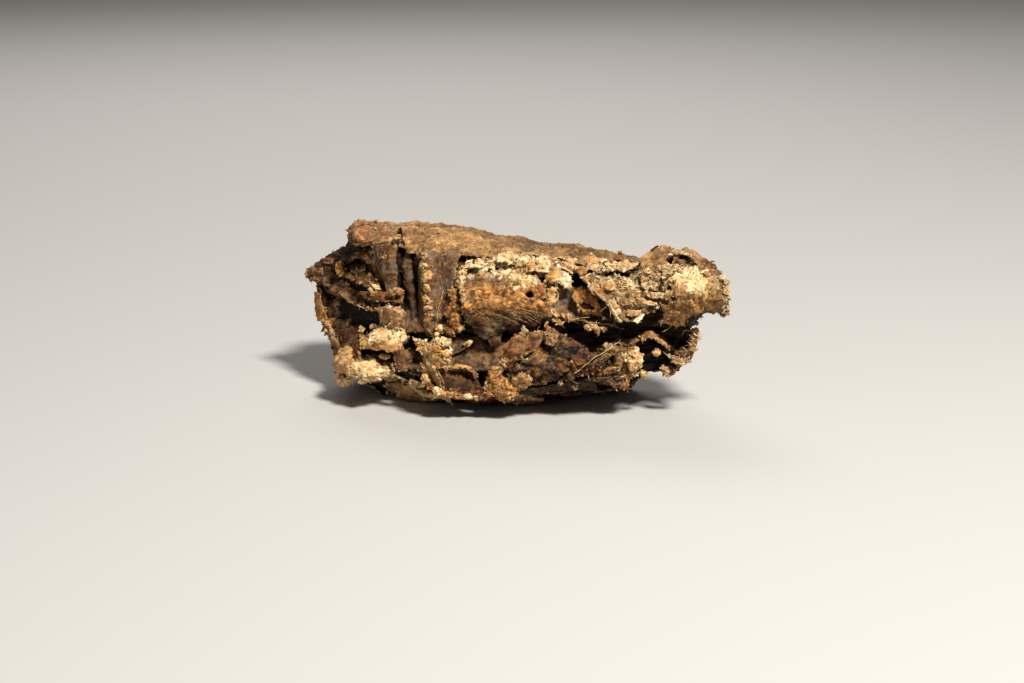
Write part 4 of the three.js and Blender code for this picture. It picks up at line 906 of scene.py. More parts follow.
# ---------------------------------------------------------- the folded curtain
WAVES = []
made["curtain"] = sheet("folded_curtain", [
    [(371, 245, 2), (383, 244, 1.4), (393, 242, 0.6), (401, 240, 2.2), (410, 240, 1.4), (419, 243, 0.9), (428, 244, 0.2), (442, 246, -0.2), (462, 250, -0.9)],
    [(375, 254, 1.4), (386, 254, 0.4), (393, 254, -0.2), (400, 254, 1.8), (409, 254, 0.2), (418, 254, 0.6), (427, 254, -1.7), (442, 254, -1.6), (461, 256, -2.2)],
    [(381, 268, 1), (387, 268, -0.5), (394, 268, -1), (399, 268, 1.4), (409, 268, -0.8), (418, 268, 0), (427, 268, -3.2), (441, 268, -2.5), (458, 270, -3.5)],
    [(388, 286, -0.5), (392, 288, -1.5), (397, 290, -1), (402, 290, 0), (411, 290, -2), (420, 290, -1.5), (428, 290, -4.2), (442, 290, -4), (457, 292, -5)],
    [(392, 305, -1.5), (396, 308, -2.5), (402, 310, -2.5), (408, 312, -2.5), (414, 312, -3.2), (421, 314, -3.5), (430, 314, -5.2), (444, 312, -5.2), (456, 315, -6)],
    [(398, 330, -3.5), (402, 332, -4), (407, 334, -4.5), (412, 334, -5), (418, 334, -5.3), (425, 334, -5.8), (434, 336, -6.4), (446, 338, -6.7), (458, 338, -7)]],
    FOLD, h=0.11, thick=0.5, torn=(0.3, 0.2, 0.1, 0.3), seed=161, fold=0.14, foldsize=1.2, fine=0.06, grain=0.4, turn=True, fibre=0.7, rugged=0.12,
    crust=lambda u, v, P: np.exp(-((u - 0.742) / 0.016) ** 2) * 1.1 * smooth(0.12, 0.2, v) + smooth(0.28, 0.1, v) * smooth(0.55, 0.7, u) * 0.55)
for k in range(16):
    q = np.random.default_rng(1640 + k)
    x, y = q.uniform(434, 456), q.uniform(256, 300)
    L = []
    for t in np.linspace(0, 1, 6):
        yy = y + t * q.uniform(22, 36)
        L.append(W(x + 2.2 * math.sin(3.1 * t + k) + 5 * (k % 3 - 1) * t * t, min(yy, 334), -2.0 - (min(yy, 334) - 256) * 0.062 - 0.35))
    WAVES.append((np.array(L), q.uniform(0.02, 0.045), ("tan", "gold", "bark", "sand")[k % 4], 1660 + k))
for k, (x, y, d, r) in enumerate([(425, 257, -2.3, 0.42), (426, 266, -3.2, 0.38), (427, 277, -3.9, 0.5), (427, 289, -4.4, 0.42), (427, 300, -4.9, 0.36), (429, 308, -5.2, 0.3), (430, 318, -5.5, 0.42),
                                  (423, 283, -3.3, 0.25), (432, 271, -3.3, 0.25), (424, 294, -3.8, 0.25)]):
    made["bit%d" % k] = clump("folded_curtain", (x, y, d - 0.1), (1.25 * r * (0.8 + 0.5 * (k % 2)), r, 1.25 * r * (1.1 - 0.5 * (k % 2))), CREAM if k % 3 != 1 else CRUMB, 1600 + k, n=12, tilt=(0, 37 * (k % 4 - 1), 0))
made["twist"] = clump("folded_curtain", (440, 329, -6.9), (0.55, 0.4, 0.3), CREAM, 163, n=14, tilt=(0, 30, 0))
made["twist2"] = clump("folded_curtain", (437, 335, -7.0), (0.3, 0.35, 0.3), CREAM, 1631, n=8)
# painted shade: a dark sheet in the hollow under the curtain's twist
made["dark_hollow"] = sheet("folded_curtain", [
    [(424, 317, -5.2), (436, 315, -5.8), (447, 319, -6.0)],
    [(423, 327, -5.6), (435, 327, -6.0), (446, 328, -6.2)],
    [(426, 337, -6.0), (436, 338, -6.6), (447, 338, -6.8)]], SHADE_DARK, h=0.11, thick=0.2, torn=(0.3, 0.3, 0.3, 0.3), seed=164)
made["thin_wave"] = sheet("folded_curtain", [
    [(416, 254, 0.0), (426, 256, -2.2), (432, 261, -2.6)],
    [(416, 260, -0.6), (426, 263, -2.9), (431, 265, -3.0)]], {"a": "bark", "b": "umber", "patch": 0.7, "rim": "tan"}, h=0.09, thick=0.2, torn=(0.2, 0.3, 0.2, 0.3), seed=165)

# painted shade: a dark brown sheet in the recess under the slab's lip
made["recess"] = sheet("folded_curtain", [
    [(438, 248, -0.2), (462, 250, -0.8), (486, 252, -1.0), (508, 254, -1.2)],
    [(438, 256, -0.8), (462, 258, -1.2), (486, 260, -1.4), (508, 262, -1.6)],
    [(440, 265, -1.6), (462, 268, -1.8), (486, 270, -2.0), (508, 270, -2.2)]], {"a": "brown", "b": "umber", "patch": 0.9, "rust": 0.3, "rim": "bark"}, h=0.13, thick=0.3, torn=(0.2, 0.2, 0.2, 0.2), seed=169)

# --------------------------------------------------------- the scrolled curl
def curl_crust(u, v, P):
    n = 0.09 * np.sin(3.1 * u + 1) + 0.06 * np.sin(11 * u) + 0.16 * fbm(P, 1.5, 3, 1731)
    top = smooth(0.40, 0.18, v + n)
    side = smooth(0.80, 0.92, u) * smooth(0.78, 0.55, v)
    left = smooth(0.10, 0.03, u) * 0.9 * smooth(0.6, 0.35, v)
    return np.maximum(np.maximum(top, side), left)


def curl_paint(u, v, P, col, low, cr):
    band = smooth(0.22, 0.38, v) * smooth(0.72, 0.5, v) * smooth(-0.3, 0.35, fbm(P, 0.8, 4, 1711, 0.65) + 0.25)
    gold = lerp(COL["rust"] * 0.8, srgb(222, 158, 82), smooth(0.3, 0.75, low)) * (0.42 + 0.85 * low)[..., None]
    col = lerp(col, gold, np.clip(band * (1 - 0.6 * cr) * 0.9, 0, 1))
    worn = smooth(0.05, 0.45, fbm(P, 1.1, 3, 1735))
    col = lerp(col, lerp(COL["rust"], COL["bark"], 0.4) * (0.35 + 0.8 * low)[..., None], worn * 0.55 * smooth(0.5, 0.2, v))
    # painted highlight: cream on the top rows and the right side
    painted_highlight = (1 - 0.7 * worn) * smooth(0.34, 0.66, low) * np.maximum(smooth(0.34, 0.12, v + 0.06 * np.sin(5 * u)), 0.7 * smooth(0.8, 0.9, u) * smooth(0.6, 0.4, v))
    col = lerp(col, COL["cream"] * 0.9, painted_highlight * 0.75)
    X, Z = P[..., 0], P[..., 2]
    slant = fbm(np.stack([0.3 * (0.91 * X - 0.42 * Z), 2.4 * (-0.42 * X - 0.91 * Z), 0 * u], -1), 1.0, 4, 1741, 0.6)
    low_part = smooth(0.40, 0.62, v + 0.05 * np.sin(7 * u)) * (1 - cr)
    col = col * (1 + low_part * (-0.62 + 1.1 * smooth(0.0, 0.6, slant)))[..., None]
    return lerp(col, COL["gold"] * 0.85, np.clip(low_part * smooth(0.2, 0.55, slant) * 0.5, 0, 1))


made["curl"] = sheet("scrolled_curl", [
    [(462, 269, -3), (480, 262, -2.5), (500, 257, -2.3), (520, 255, -2), (540, 260, -2.5), (558, 262, -3), (564, 272, -4)],
    [(458, 283, -5.5), (475, 279, -5), (497, 277, -4.8), (518, 276, -4.8), (538, 279, -5), (551, 282, -5), (559, 286, -5)],
    [(460, 299, -7), (476, 297, -7), (497, 296, -7), (518, 296, -7), (535, 297, -6.8), (545, 299, -6.3), (551, 301, -5.5)],
    [(464, 314, -7.5), (479, 313, -8), (498, 312, -8), (517, 311, -8), (535, 310, -7.6), (545, 311, -7), (551, 313, -6.3)],
    [(474, 329, -7.3), (484, 334, -8), (498, 328, -8), (516, 324, -7.6), (533, 322, -7), (543, 320, -6.5), (550, 317, -6)],
    [(480, 331, -6), (488, 333, -6), (500, 328, -6), (516, 323, -5.8), (532, 320, -5.3), (542, 318, -5), (548, 316, -4.8)]],
    SHELL, h=0.095, thick=0.5, torn=(0.35, 0.6, 0.4, 0.25), seed=171, fold=0.17, foldsize=1.4, fine=0.07, grain=0.6, rugged=0.13, cracks=(1.3, 0.35), crust=curl_crust, pale=0.35, fibre=1.0, paint=curl_paint, crustsize=0.42, bulk=0.3,
    holes=[(0.60, 0.40, 0.42), (0.72, 0.20, 0.36), (0.85, 0.34, 0.24), (0.27, 0.14, 0.2), (0.33, 0.12, 0.2), (0.38, 0.13, 0.16)])
for k in range(46):
    q = np.random.default_rng(1900 + k)
    x, y = q.uniform(470, 532), q.uniform(302, 317)
    run, drop = q.uniform(10, 24), q.uniform(4, 11)
    L = [W(x + t * run, y + t * drop * (0.55 + 0.45 * t), -8.0 - 0.5 * q.uniform() - 0.1 * math.sin(3.1 * t) + 0.9 * smooth(528, 552, x + t * run) + 0.9 * smooth(324, 334, y + t * drop)) for t in np.linspace(0, 1, 5)]
    WAVES.append((np.array(L), q.uniform(0.018, 0.036), ("tan", "gold", "rust", "sand")[k % 4], 1960 + k))
made["curl_horn"] = sheet("scrolled_curl", [
    [(556, 262, -3), (564, 266, -3.6), (569, 274, -4.2)],
    [(556, 272, -4.6), (564, 280, -5), (572, 289, -5.2)],
    [(552, 280, -5), (560, 284, -5.2), (567, 288, -5.2)]], CREAM, h=0.09, thick=0.35, torn=(0.1, 0.4, 0.2, 0.2), seed=173, grain=0.7, fold=0.25, foldsize=0.8)
for k, (net, look) in enumerate([
        ([[(536, 262, -4.2), (543, 258, -4.0), (550, 261, -4.4)], [(537, 274, -5.4), (544, 272, -5.8), (551, 275, -5.6)]], CREAM),
        ([[(545, 268, -5.0), (551, 264, -5.0), (558, 268, -5.0)], [(546, 284, -5.8), (552, 283, -6.2), (559, 283, -5.9)]], CRUMB),
        ([[(535, 286, -5.8), (541, 283, -6.0), (547, 286, -6.0)], [(534, 299, -6.9), (541, 300, -7.2), (548, 298, -7.0)]], {**SHELL, "a": "bark", "b": "rust"}),
        ([[(549, 290, -5.6), (553, 288, -5.8), (557, 291, -5.6)], [(545, 304, -6.4), (550, 305, -6.8), (555, 303, -6.2)]], CRUMB),
        ([[(540, 303, -6.9), (546, 301, -7.0), (552, 303, -6.6)], [(538, 316, -7.4), (545, 318, -7.7), (551, 315, -7.0)]], {**SHELL, "b": "brown"}),
        ([[(526, 262, -3.8), (533, 259, -3.6), (538, 263, -4.0)], [(524, 272, -5.0), (530, 272, -5.4), (537, 273, -5.4)]], CRUMB),
        ([[(466, 262, -3.4), (474, 259, -3.4), (483, 262, -3.4)], [(465, 271, -4.4), (474, 270, -4.8), (484, 268, -4.6)]], CREAM),
        ([[(498, 256, -3.0), (508, 254, -3.0), (518, 256, -3.0)], [(498, 265, -4.2), (508, 265, -4.6), (518, 264, -4.4)]], CREAM)]):
    made["fray%d" % k] = sheet("scrolled_curl", net, look, h=0.075, thick=0.12, torn=(0.5, 0.5, 0.45, 0.55), grow=(0.3, 0.3, 0.25, 0.35), seed=1700 + 7 * k, grain=0.6, fold=0.28, foldsize=0.8, crustsize=0.3, bulk=0.16, cracks=(1.1, 0.35), fibre=0.9)
made["ringlet"] = sheet("scrolled_curl", [
    [(487, 335, -7.0), (494, 334, -7.4), (502, 334, -7.2)],
    [(489, 341, -7.6), (494, 342, -7.9), (500, 340, -7.6)],
    [(491, 345, -7.4), (495, 346, -7.6), (500, 344, -7.4)]], BOWL, h=0.08, thick=0.2, torn=(0.2, 0.2, 0.1, 0.2), seed=175)
made["gold_column"] = lump("scrolled_curl", (455, 318, -6.3), (0.45, 0.8, 1.55), {**CRUMB, "crust": "gold"}, h=0.09, tilt=(0, 3, 0), seed=177, rough=0.3, crumbs=(0.42, 0.24))
made["gold_upper"] = lump("scrolled_curl", (461, 279, -4.5), (0.4, 0.8, 1.3), CRUMB, h=0.09, tilt=(0, 12, 0), seed=179, rough=0.35, crumbs=(0.4, 0.24))
made["gold_mid"] = lump("scrolled_curl", (454, 296, -5.3), (0.38, 0.7, 0.8), CRUMB, h=0.09, tilt=(0, -10, 0), seed=180, rough=0.35, crumbs=(0.4, 0.24))

# ------------------------------------------------------------ the front flakes
made["grey_face"] = sheet("front_flakes", [
    [(446, 334, -5.6), (465, 335, -5.6), (485, 337, -5.6), (510, 338, -5.8)],
    [(448, 354, -7), (466, 355, -7), (485, 355, -7), (507, 355, -7.2)],
    [(448, 372, -8.2), (466, 372, -8.1), (485, 372, -8.0), (503, 370, -8.2)]], GREY, h=0.12, thick=0.4, torn=(0.1, 0.1, 0.1, 0.3), seed=181, fold=0.16, fine=0.06, fibre=0.6)
made["grey_upper"] = sheet("front_flakes", [
    [(444, 336, -6.0), (458, 337, -6.4), (472, 342, -6.8)],
    [(446, 348, -6.9), (457, 348, -7.2), (470, 347, -7.5)],
    [(448, 360, -7.5), (453, 357, -7.7), (462, 352, -7.7)]], GREY, h=0.09, thick=0.3, torn=(0.1, 0.3, 0.1, 0.3), seed=183, fold=0.14, fine=0.06, fibre=0.6)
made["grey_bit"] = clump("front_flakes", (468, 343, -7.6), (0.5, 0.35, 0.2), CRUMB, 184, n=14, tilt=(0, -18, 0))
made["crumb_flake"] = sheet("front_flakes", [
    [(414, 341, -6.8), (428, 343, -7.6), (440, 340, -7.8), (451, 344, -7.6)],
    [(419, 349, -7.7), (431, 350, -8.4), (442, 350, -8.6), (452, 352, -8.2)],
    [(427, 358, -8.3), (436, 359, -8.9), (444, 359, -8.9), (450, 360, -8.6)],
    [(434, 366, -8.6), (439, 368, -8.9), (443, 368, -8.9), (447, 366, -8.7)]], CRUMB, h=0.085, thick=0.2, torn=(0.35, 0.45, 0.4, 0.4), seed=185, grain=0.8, fold=0.28, foldsize=0.9, crustsize=0.36, rugged=0.2,
    crust=lambda u, v, P: 0.9 * smooth(0.45, 0.7, u) * smooth(0.75, 0.5, v))
for k, (net, look) in enumerate([
        ([[(412, 337, -6.8), (418, 339, -7.2), (424, 342, -7.6)], [(415, 342, -7.3), (420, 345, -7.8), (426, 348, -8.2)]], CRUMB),
        ([[(436, 338, -8.2), (444, 337, -8.4), (452, 340, -8.2)], [(437, 346, -8.8), (445, 347, -9.1), (452, 348, -8.7)]], {**CRUMB, "b": "sand"}),
        ([[(427, 345, -8.4), (434, 343, -8.6), (441, 346, -8.8)], [(429, 353, -8.9), (436, 354, -9.2), (442, 354, -9.1)]], CRUMB),
        ([[(436, 354, -9.0), (443, 353, -9.2), (449, 356, -9.0)], [(437, 362, -9.2), (443, 364, -9.4), (448, 362, -9.1)]], CRUMB)]):
    made["crumb_bit%d" % k] = sheet("front_flakes", net, look, h=0.08, thick=0.14, torn=(0.3, 0.35, 0.25, 0.35), grow=(0.15, 0.2, 0.1, 0.15), seed=1850 + 7 * k, grain=0.4, fold=0.22, foldsize=0.8, crustsize=0.3, bulk=0.14, cracks=(0.5, 0.8))
made["bowl"] = sheet("front_flakes", [
    [(430, 360, -8.2), (448, 365, -7.8), (466, 367, -7.3), (478, 372, -7.4)],
    [(434, 372, -8.8), (452, 375, -8.0), (467, 377, -7.4), (480, 385, -8.1)],
    [(440, 385, -9.2), (455, 387, -8.9), (472, 389, -8.7), (488, 392, -9.3)],
    [(447, 395, -8.5), (458, 397, -8.5), (473, 398, -8.5), (489, 398, -8.8)]], BOWL, h=0.095, thick=0.35, torn=(0.4, 0.4, 0.4, 0.4), seed=187, fold=0.2, fine=0.09,
    crust=lambda u, v, P: smooth(0.66, 0.86, v) * 0.9)
made["bowl_lip"] = sheet("front_flakes", [
    [(448, 366, -8.6), (459, 364, -8.4), (470, 367, -8.0), (478, 374, -8.2)],
    [(450, 370, -8.9), (460, 369, -8.7), (469, 372, -8.3), (475, 378, -8.4)]], RUSTY, h=0.085, thick=0.22, torn=(0.3, 0.3, 0.25, 0.3), seed=188, grain=0.3)
made["ridge"] = sheet("front_flakes", [
    [(422, 353, -7.4), (427, 355, -8.2), (433, 362, -8.8)],
    [(427, 365, -7.8), (432, 368, -8.8), (439, 374, -9.2)],
    [(433, 378, -8.2), (438, 382, -9.1), (446, 386, -9.3)],
    [(438, 386, -8.2), (443, 389, -8.9), (450, 391, -9.0)]], {"a": "bark", "b": "tan", "patch": 0.7, "rust": 0.3, "rim": "sand", "crust": "sand"}, h=0.09, thick=0.25, torn=(0.3, 0.4, 0.3, 0.3), seed=189, grain=0.7, fold=0.25)
made["low_a"] = sheet("lower_flakes", [
    [(416, 374, -3.6), (428, 378, -4.2), (442, 382, -5), (458, 388, -5.5)],
    [(407, 382, -6), (419, 388, -6.8), (432, 392, -7.5), (451, 395, -7.8)],
    [(405, 382, -6.4), (417, 392, -7), (432, 397, -7.6), (452, 400, -7.8)]], {"a": "tan", "b": "brown", "patch": 0.8, "rust": 0.3, "rim": "cream"}, h=0.1, thick=0.25, torn=(0.4, 0.2, 0.1, 0.3), seed=191, grain=0.2)
made["low_b"] = sheet("lower_flakes", [
    [(412, 360, -3.6), (424, 362, -4.6), (436, 366, -5.6)],
    [(408, 374, -6.5), (420, 379, -7.5), (434, 383, -8.3)]], {"a": "grey", "b": "brown", "patch": 0.8, "rust": 0.2, "rim": "cream"}, h=0.1, thick=0.2, torn=(0.3, 0.2, 0.1, 0.3), seed=193)
made["low_bar"] = lump("lower_flakes", (427, 371, -8.0), (0.3, 0.35, 0.95), CREAM, h=0.085, tilt=(0, -34, 0), seed=195, rough=0.3, crumbs=(0.3, 0.12))
made["low_tip"] = sheet("lower_flakes", [
    [(411, 378, -7.0), (418, 380, -7.6), (426, 383, -8.0)],
    [(409, 383, -7.0), (416, 387, -7.6), (424, 389, -8.0)]], FLAKE, h=0.085, thick=0.18, torn=(0.3, 0.3, 0.2, 0.3), seed=196, fold=0.25)
made["cluster"] = lump("lower_flakes", (505, 386, -8.9), (1.4, 1.0, 1.0), {**CRUMB, "crust": "gold", "crusting": 0.8, "rim": "sand"}, h=0.09, tilt=(0, 5, 0), seed=197, rough=0.4, crumbs=(0.42, 0.3), calm=0.25)
made["cluster_left"] = lump("lower_flakes", (495, 379, -9.2), (0.55, 0.8, 1.1), {**CRUMB, "crust": "gold", "crusting": 0.8, "rim": "sand"}, h=0.09, tilt=(0, 12, 0), seed=198, rough=0.4, crumbs=(0.4, 0.28), calm=0.25)
made["cluster_tip"] = lump("lower_flakes", (500, 367, -9.1), (0.35, 0.5, 0.65), {**CRUMB, "crust": "sand"}, h=0.085, tilt=(0, 18, 0), seed=199, rough=0.4, crumbs=(0.34, 0.22))
made["cluster_right"] = lump("lower_flakes", (521, 379, -9.3), (0.8, 0.7, 0.75), {**CRUMB, "crust": "sand"}, h=0.09, tilt=(0, -20, 0), seed=200, rough=0.42, crumbs=(0.4, 0.28), calm=0.2)
GOLDEN = {**CRUMB, "a": "gold", "b": "tan", "crust": "gold", "crusting": 0.8, "rim": "sand"}
for k, (at, r, turn_, look) in enumerate([
        ((341, 268, 3.8), (0.6, 0.5, 0.75), 10, GOLDEN), ((449, 312, -6.4), (0.5, 0.4, 0.55), -20, GOLDEN), ((455, 320, -7.4), (0.55, 0.5, 0.85), 8, GOLDEN),
        ((460, 328, -7.3), (0.4, 0.4, 0.5), 30, CRUMB), ((450, 330, -7.2), (0.5, 0.4, 0.5), -15, GOLDEN), ((421, 372, -6.5), (0.45, 0.4, 0.4), 30, CRUMB),
        ((426, 379, -8.6), (0.5, 0.35, 0.4), 40, CRUMB), ((431, 386, -8.7), (0.5, 0.35, 0.35), 35, GOLDEN), ((438, 391, -9.4), (0.6, 0.35, 0.32), 25, CRUMB),
        ((447, 394, -9.5), (0.6, 0.35, 0.3), 12, CRUMB), ((457, 396, -9.3), (0.6, 0.35, 0.28), 8, GOLDEN), ((467, 396.5, -9.1), (0.6, 0.35, 0.28), 0, CRUMB),
        ((478, 396.5, -9.0), (0.6, 0.35, 0.26), 0, CRUMB), ((488, 394, -9.5), (0.5, 0.35, 0.3), -10, GOLDEN)]):
    made["grit%d" % k] = clump("lower_flakes" if at[2] < 0 else "left_pages", at, r, look, 2700 + 11 * k, n=16, tilt=(0, turn_, 0), colours=("sand", "gold", "cream", "tan"))
made["chip"] = sheet("lower_flakes", [
    [(474, 390, -9.0), (481, 390, -9.2), (487, 391, -9.2)],
    [(475, 397, -9.0), (481, 398, -9.2), (486, 397, -9.2)]], {"a": "umber", "b": "rust", "patch": 0.6, "rust": 0.2, "rim": "bark", "rimming": 0.4}, h=0.08, thick=0.18, torn=(0.15, 0.15, 0.15, 0.15), seed=201)


# the big dark sloping layer with its broken orange rim
def lower_paint(u, v, P, col, low, cr):
    streak = smooth(-0.05, 0.45, fbm(P @ rot(0, 32, 0) * np.array([0.28, 1, 1.4]), 0.6, 4, 2031, 0.6)) * smooth(0.62, 0.3, u)
    col = lerp(col, COL["gold"] * (0.35 + 0.7 * low)[..., None], streak * 0.6)
    # painted shade in the hollows of the relief
    col = col * (0.35 + 1.15 * smooth(0.25, 0.85, low))[..., None]
    pink = np.exp(-((u - 0.68) / 0.07) ** 2 - ((v - 0.25) / 0.14) ** 2)
    col = lerp(col, srgb(134, 84, 62) * (0.5 + 0.7 * low)[..., None], pink * 0.8)
    # painted shade on the part under the knob and the saddle
    return col * (1 - 0.5 * smooth(0.72, 0.92, u) * smooth(0.9, 0.5, v))[..., None]


made["lower_sheet"] = sheet("lower_flakes", [
    [(513, 338, -8), (532, 332, -7.8), (552, 329, -7), (572, 342, -7.5), (592, 351, -8), (610, 342, -8.5), (626, 344, -8.5)],
    [(507, 350, -8.8), (528, 349, -8.6), (550, 350, -8.2), (572, 353, -8.6), (592, 358, -8.6), (606, 354, -9), (617, 350, -9)],
    [(503, 364, -9.2), (526, 364, -9.4), (550, 366, -9.2), (571, 367, -9.3), (588, 367, -9.2), (599, 361, -9.4), (607, 357, -9.3)],
    [(518, 383, -9.1), (534, 384, -9.1), (552, 382, -9), (567, 379, -9), (580, 375, -9.1), (590, 370, -9.1), (600, 363, -9)]],
    DARKF, h=0.095, thick=0.35, torn=(0.5, 0.3, 0.45, 0.4), seed=203, fold=0.32, foldsize=1.2, fine=0.13, grain=0.3, rugged=0.24, cracks=(1.5, 0.7), fibre=0.9, paint=lower_paint,
    crust=lambda u, v, P: smooth(0.10, 0.02, u) * 0.75)
made["lower_fold"] = sheet("lower_flakes", [
    [(508, 344, -8.6), (516, 336, -8.3), (528, 333, -8.2), (543, 331, -8.1)],
    [(503, 356, -9.1), (514, 349, -9.2), (527, 345, -9.1), (541, 341, -9.0)],
    [(499, 367, -9.4), (512, 363, -9.6), (524, 357, -9.5), (534, 350, -9.4)]], {"a": "bark", "b": "brown", "patch": 0.8, "rust": 0.7, "rim": "sand", "crust": "gold"}, h=0.085, thick=0.25,
    torn=(0.35, 0.35, 0.3, 0.4), seed=204, grain=0.45, fold=0.3, foldsize=0.9, fibre=1.0)
made["rim_lobe"] = sheet("lower_flakes", [
    [(543, 333, -8.6), (550, 332, -8.6), (558, 335, -8.4)],
    [(545, 339, -9.1), (550, 340, -9.3), (556, 340, -9.0)],
    [(547, 346, -9.3), (550, 346, -9.4), (553, 345, -9.2)]], {"a": "tan", "b": "bark", "patch": 0.5, "rust": 0.2, "rim": "cream"}, h=0.075, thick=0.13, torn=(0.3, 0.3, 0.3, 0.25), seed=205, grain=0.3, fold=0.2,
    foldsize=0.8, cracks=(0.6, 0.7))
made["lower_edge"] = sheet("lower_flakes", [
    [(574, 373, -9.5), (588, 364, -9.8), (601, 354, -9.8), (617, 343, -9.5)],
    [(577, 377, -9.5), (591, 369, -9.7), (604, 359, -9.7), (619, 348, -9.4)]], {"a": "umber", "b": "bark", "patch": 0.6, "rust": 0.3, "rim": "sand", "rimming": 0.7}, h=0.08, thick=0.12, torn=(0.4, 0.3, 0.06, 0.2), grow=(0.2, 0.1, 0.0, 0.25), fold=0.2, foldsize=0.8, grain=0.3, cracks=(0.6, 0.6), seed=206)
# painted shade: a dark sheet for the shaded underside
made["belly"] = sheet("lower_flakes", [
    [(500, 391, -8.6), (530, 387, -8.4), (560, 383, -8.2), (590, 378, -7.6)],
    [(488, 396, -8.4), (525, 392, -8.0), (560, 388, -7.4), (596, 384, -6.6)],
    [(470, 396, -4.5), (515, 394, -4.0), (560, 392, -3.5), (600, 389, -3)]], {**SHADE_DARK, "rim": "bark"}, h=0.13, thick=0.3, torn=(0.3, 0.5, 0.4, 0.0), seed=207, grain=0.2)
for k, (x, y, d, r) in enumerate([(561, 383, -9.0, 0.24), (575, 387, -8.6, 0.28), (572, 362, -9.6, 0.16)]):
    made["dot%d" % k] = clump("lower_flakes", (x, y, d), (r, r * 0.9, r * 0.6), CREAM if k % 2 else CRUMB, 2100 + k, n=9, tilt=(0, 30 * (k % 3), 0))

# ----------------------------------------------------------- the right flakes
def saddle_paint(u, v, P, col, low, cr):
    # cream crust patches made brighter still, the rest darker: painted light on the patches, painted shade around them
    bright = np.exp(-((u - 0.46) / 0.14) ** 2 - ((v - 0.26) / 0.16) ** 2) + np.exp(-((u - 0.66) / 0.08) ** 2 - ((v - 0.2) / 0.13) ** 2) + 0.8 * np.exp(-((u - 0.7) / 0.12) ** 2 - ((v - 0.66) / 0.08) ** 2)
    bright = np.clip(bright * (0.7 + 0.9 * smooth(-0.2, 0.4, fbm(P, 0.7, 4, 2117))) + smooth(0.09, 0.02, u), 0, 1)
    col = col * (0.62 + 0.55 * bright)[..., None]
    return lerp(col, COL["cream"] * (0.2 + 0.9 * low)[..., None], 0.75 * bright * smooth(0.35, 0.6, low))


made["saddle"] = sheet("right_flakes", [
    [(576, 273, -4.6), (588, 275, -4.8), (604, 278, -5.0), (622, 279, -5.4), (645, 280, -5.8), (669, 284, -7)],
    [(589, 287, -6.2), (599, 288, -6.2), (612, 290, -6.5), (628, 291, -6.9), (647, 292, -7.3), (669, 296, -7.8)],
    [(603, 302, -7.3), (611, 303, -7.3), (620, 304, -7.6), (633, 305, -7.9), (647, 305, -8.1), (662, 306, -8.2)],
    [(618, 322, -8.4), (622, 323, -8.5), (628, 322, -8.6), (636, 320, -8.5), (645, 316, -8.4), (655, 311, -8.2)]], FLAKE,
    h=0.095, thick=0.35, torn=(0.12, 0.3, 0.35, 0.3), grow=(0, 0.1, 0.1, 0.1), seed=211, fold=0.26, foldsize=1.1, fine=0.1, grain=0.5, rim=0.2, rugged=0.1, cracks=(2.2, 0.28), fibre=1.0, paint=saddle_paint, crustsize=0.32,
    crust=lambda u, v, P: np.exp(-((u - 0.50) / 0.10) ** 2 - ((v - 0.24) / 0.13) ** 2) * 1.5 + np.exp(-((u - 0.62) / 0.06) ** 2 - ((v - 0.16) / 0.1) ** 2) + np.exp(-((u - 0.72) / 0.1) ** 2 - ((v - 0.66) / 0.06) ** 2))
made["saddle_rim"] = sheet("right_flakes", [
    [(577, 273, -5.0), (590, 287, -6.6), (604, 302, -7.7), (612, 312, -8.3), (620, 323, -8.7)],
    [(581, 274, -5.2), (594, 287, -6.8), (608, 301, -7.9), (616, 311, -8.5), (623, 321, -8.9)]], {"a": "sand", "b": "tan", "patch": 0.7, "rim": "cream"}, h=0.08, thick=0.18,
    torn=(0.1, 0.1, 0.12, 0.15), grow=(0, 0, 0, 0), seed=212, fold=0.08, foldsize=0.8)
for k, (net, look) in enumerate([
        ([[(634, 298, -8.0), (645, 299, -8.3), (658, 301, -8.4)], [(637, 304, -8.4), (647, 305, -8.7), (657, 307, -8.6)]], CRUMB),
        ([[(646, 292, -7.6), (656, 292, -8.0), (668, 294, -8.2)], [(648, 299, -8.2), (658, 300, -8.5), (668, 301, -8.5)]], {"a": "grey", "b": "tan", "patch": 0.5, "rim": "cream"}),
        ([[(616, 296, -7.3), (625, 297, -7.6), (634, 298, -7.8)], [(617, 304, -7.8), (625, 306, -8.1), (633, 305, -8.2)]], {"a": "bark", "b": "tan", "patch": 0.5, "rust": 0.4, "rim": "sand"}),
        ([[(626, 309, -8.1), (634, 309, -8.4), (643, 310, -8.5)], [(627, 316, -8.5), (634, 317, -8.8), (641, 315, -8.7)]], CRUMB),
        ([[(641, 283, -6.8), (651, 281, -7.2), (661, 283, -7.4)], [(642, 290, -7.3), (651, 290, -7.7), (661, 291, -7.8)]], {"a": "grey", "b": "sand", "patch": 0.4, "rust": 0.1, "rim": "cream", "crust": "cream"}),
        ([[(600, 283, -6.0), (608, 282, -6.2), (616, 284, -6.4)], [(602, 291, -6.7), (609, 292, -7.0), (617, 293, -7.0)]], {"a": "tan", "b": "gold", "patch": 0.4, "rust": 0.2, "rim": "cream"})]):
    made["scale%d" % k] = sheet("right_flakes", net, look, h=0.085, thick=0.16, torn=(0.3, 0.3, 0.1, 0.35), grow=(0.15, 0.15, 0, 0.2), seed=2200 + 9 * k, grain=0.5, fold=0.25, foldsize=0.7, crustsize=0.34)
made["saddle_back"] = sheet("right_flakes", [
    [(632, 271, -3.6), (650, 270, -4.2), (668, 271, -5)],
    [(630, 283, -5.6), (650, 281, -6.2), (670, 286, -7)]], {"a": "bark", "b": "grey", "patch": 0.8, "rust": 0.3, "rim": "sand", "crust": "cream"}, h=0.1, thick=0.3, torn=(0.4, 0.2, 0.2, 0.4), seed=213, grain=0.6, fold=0.3)
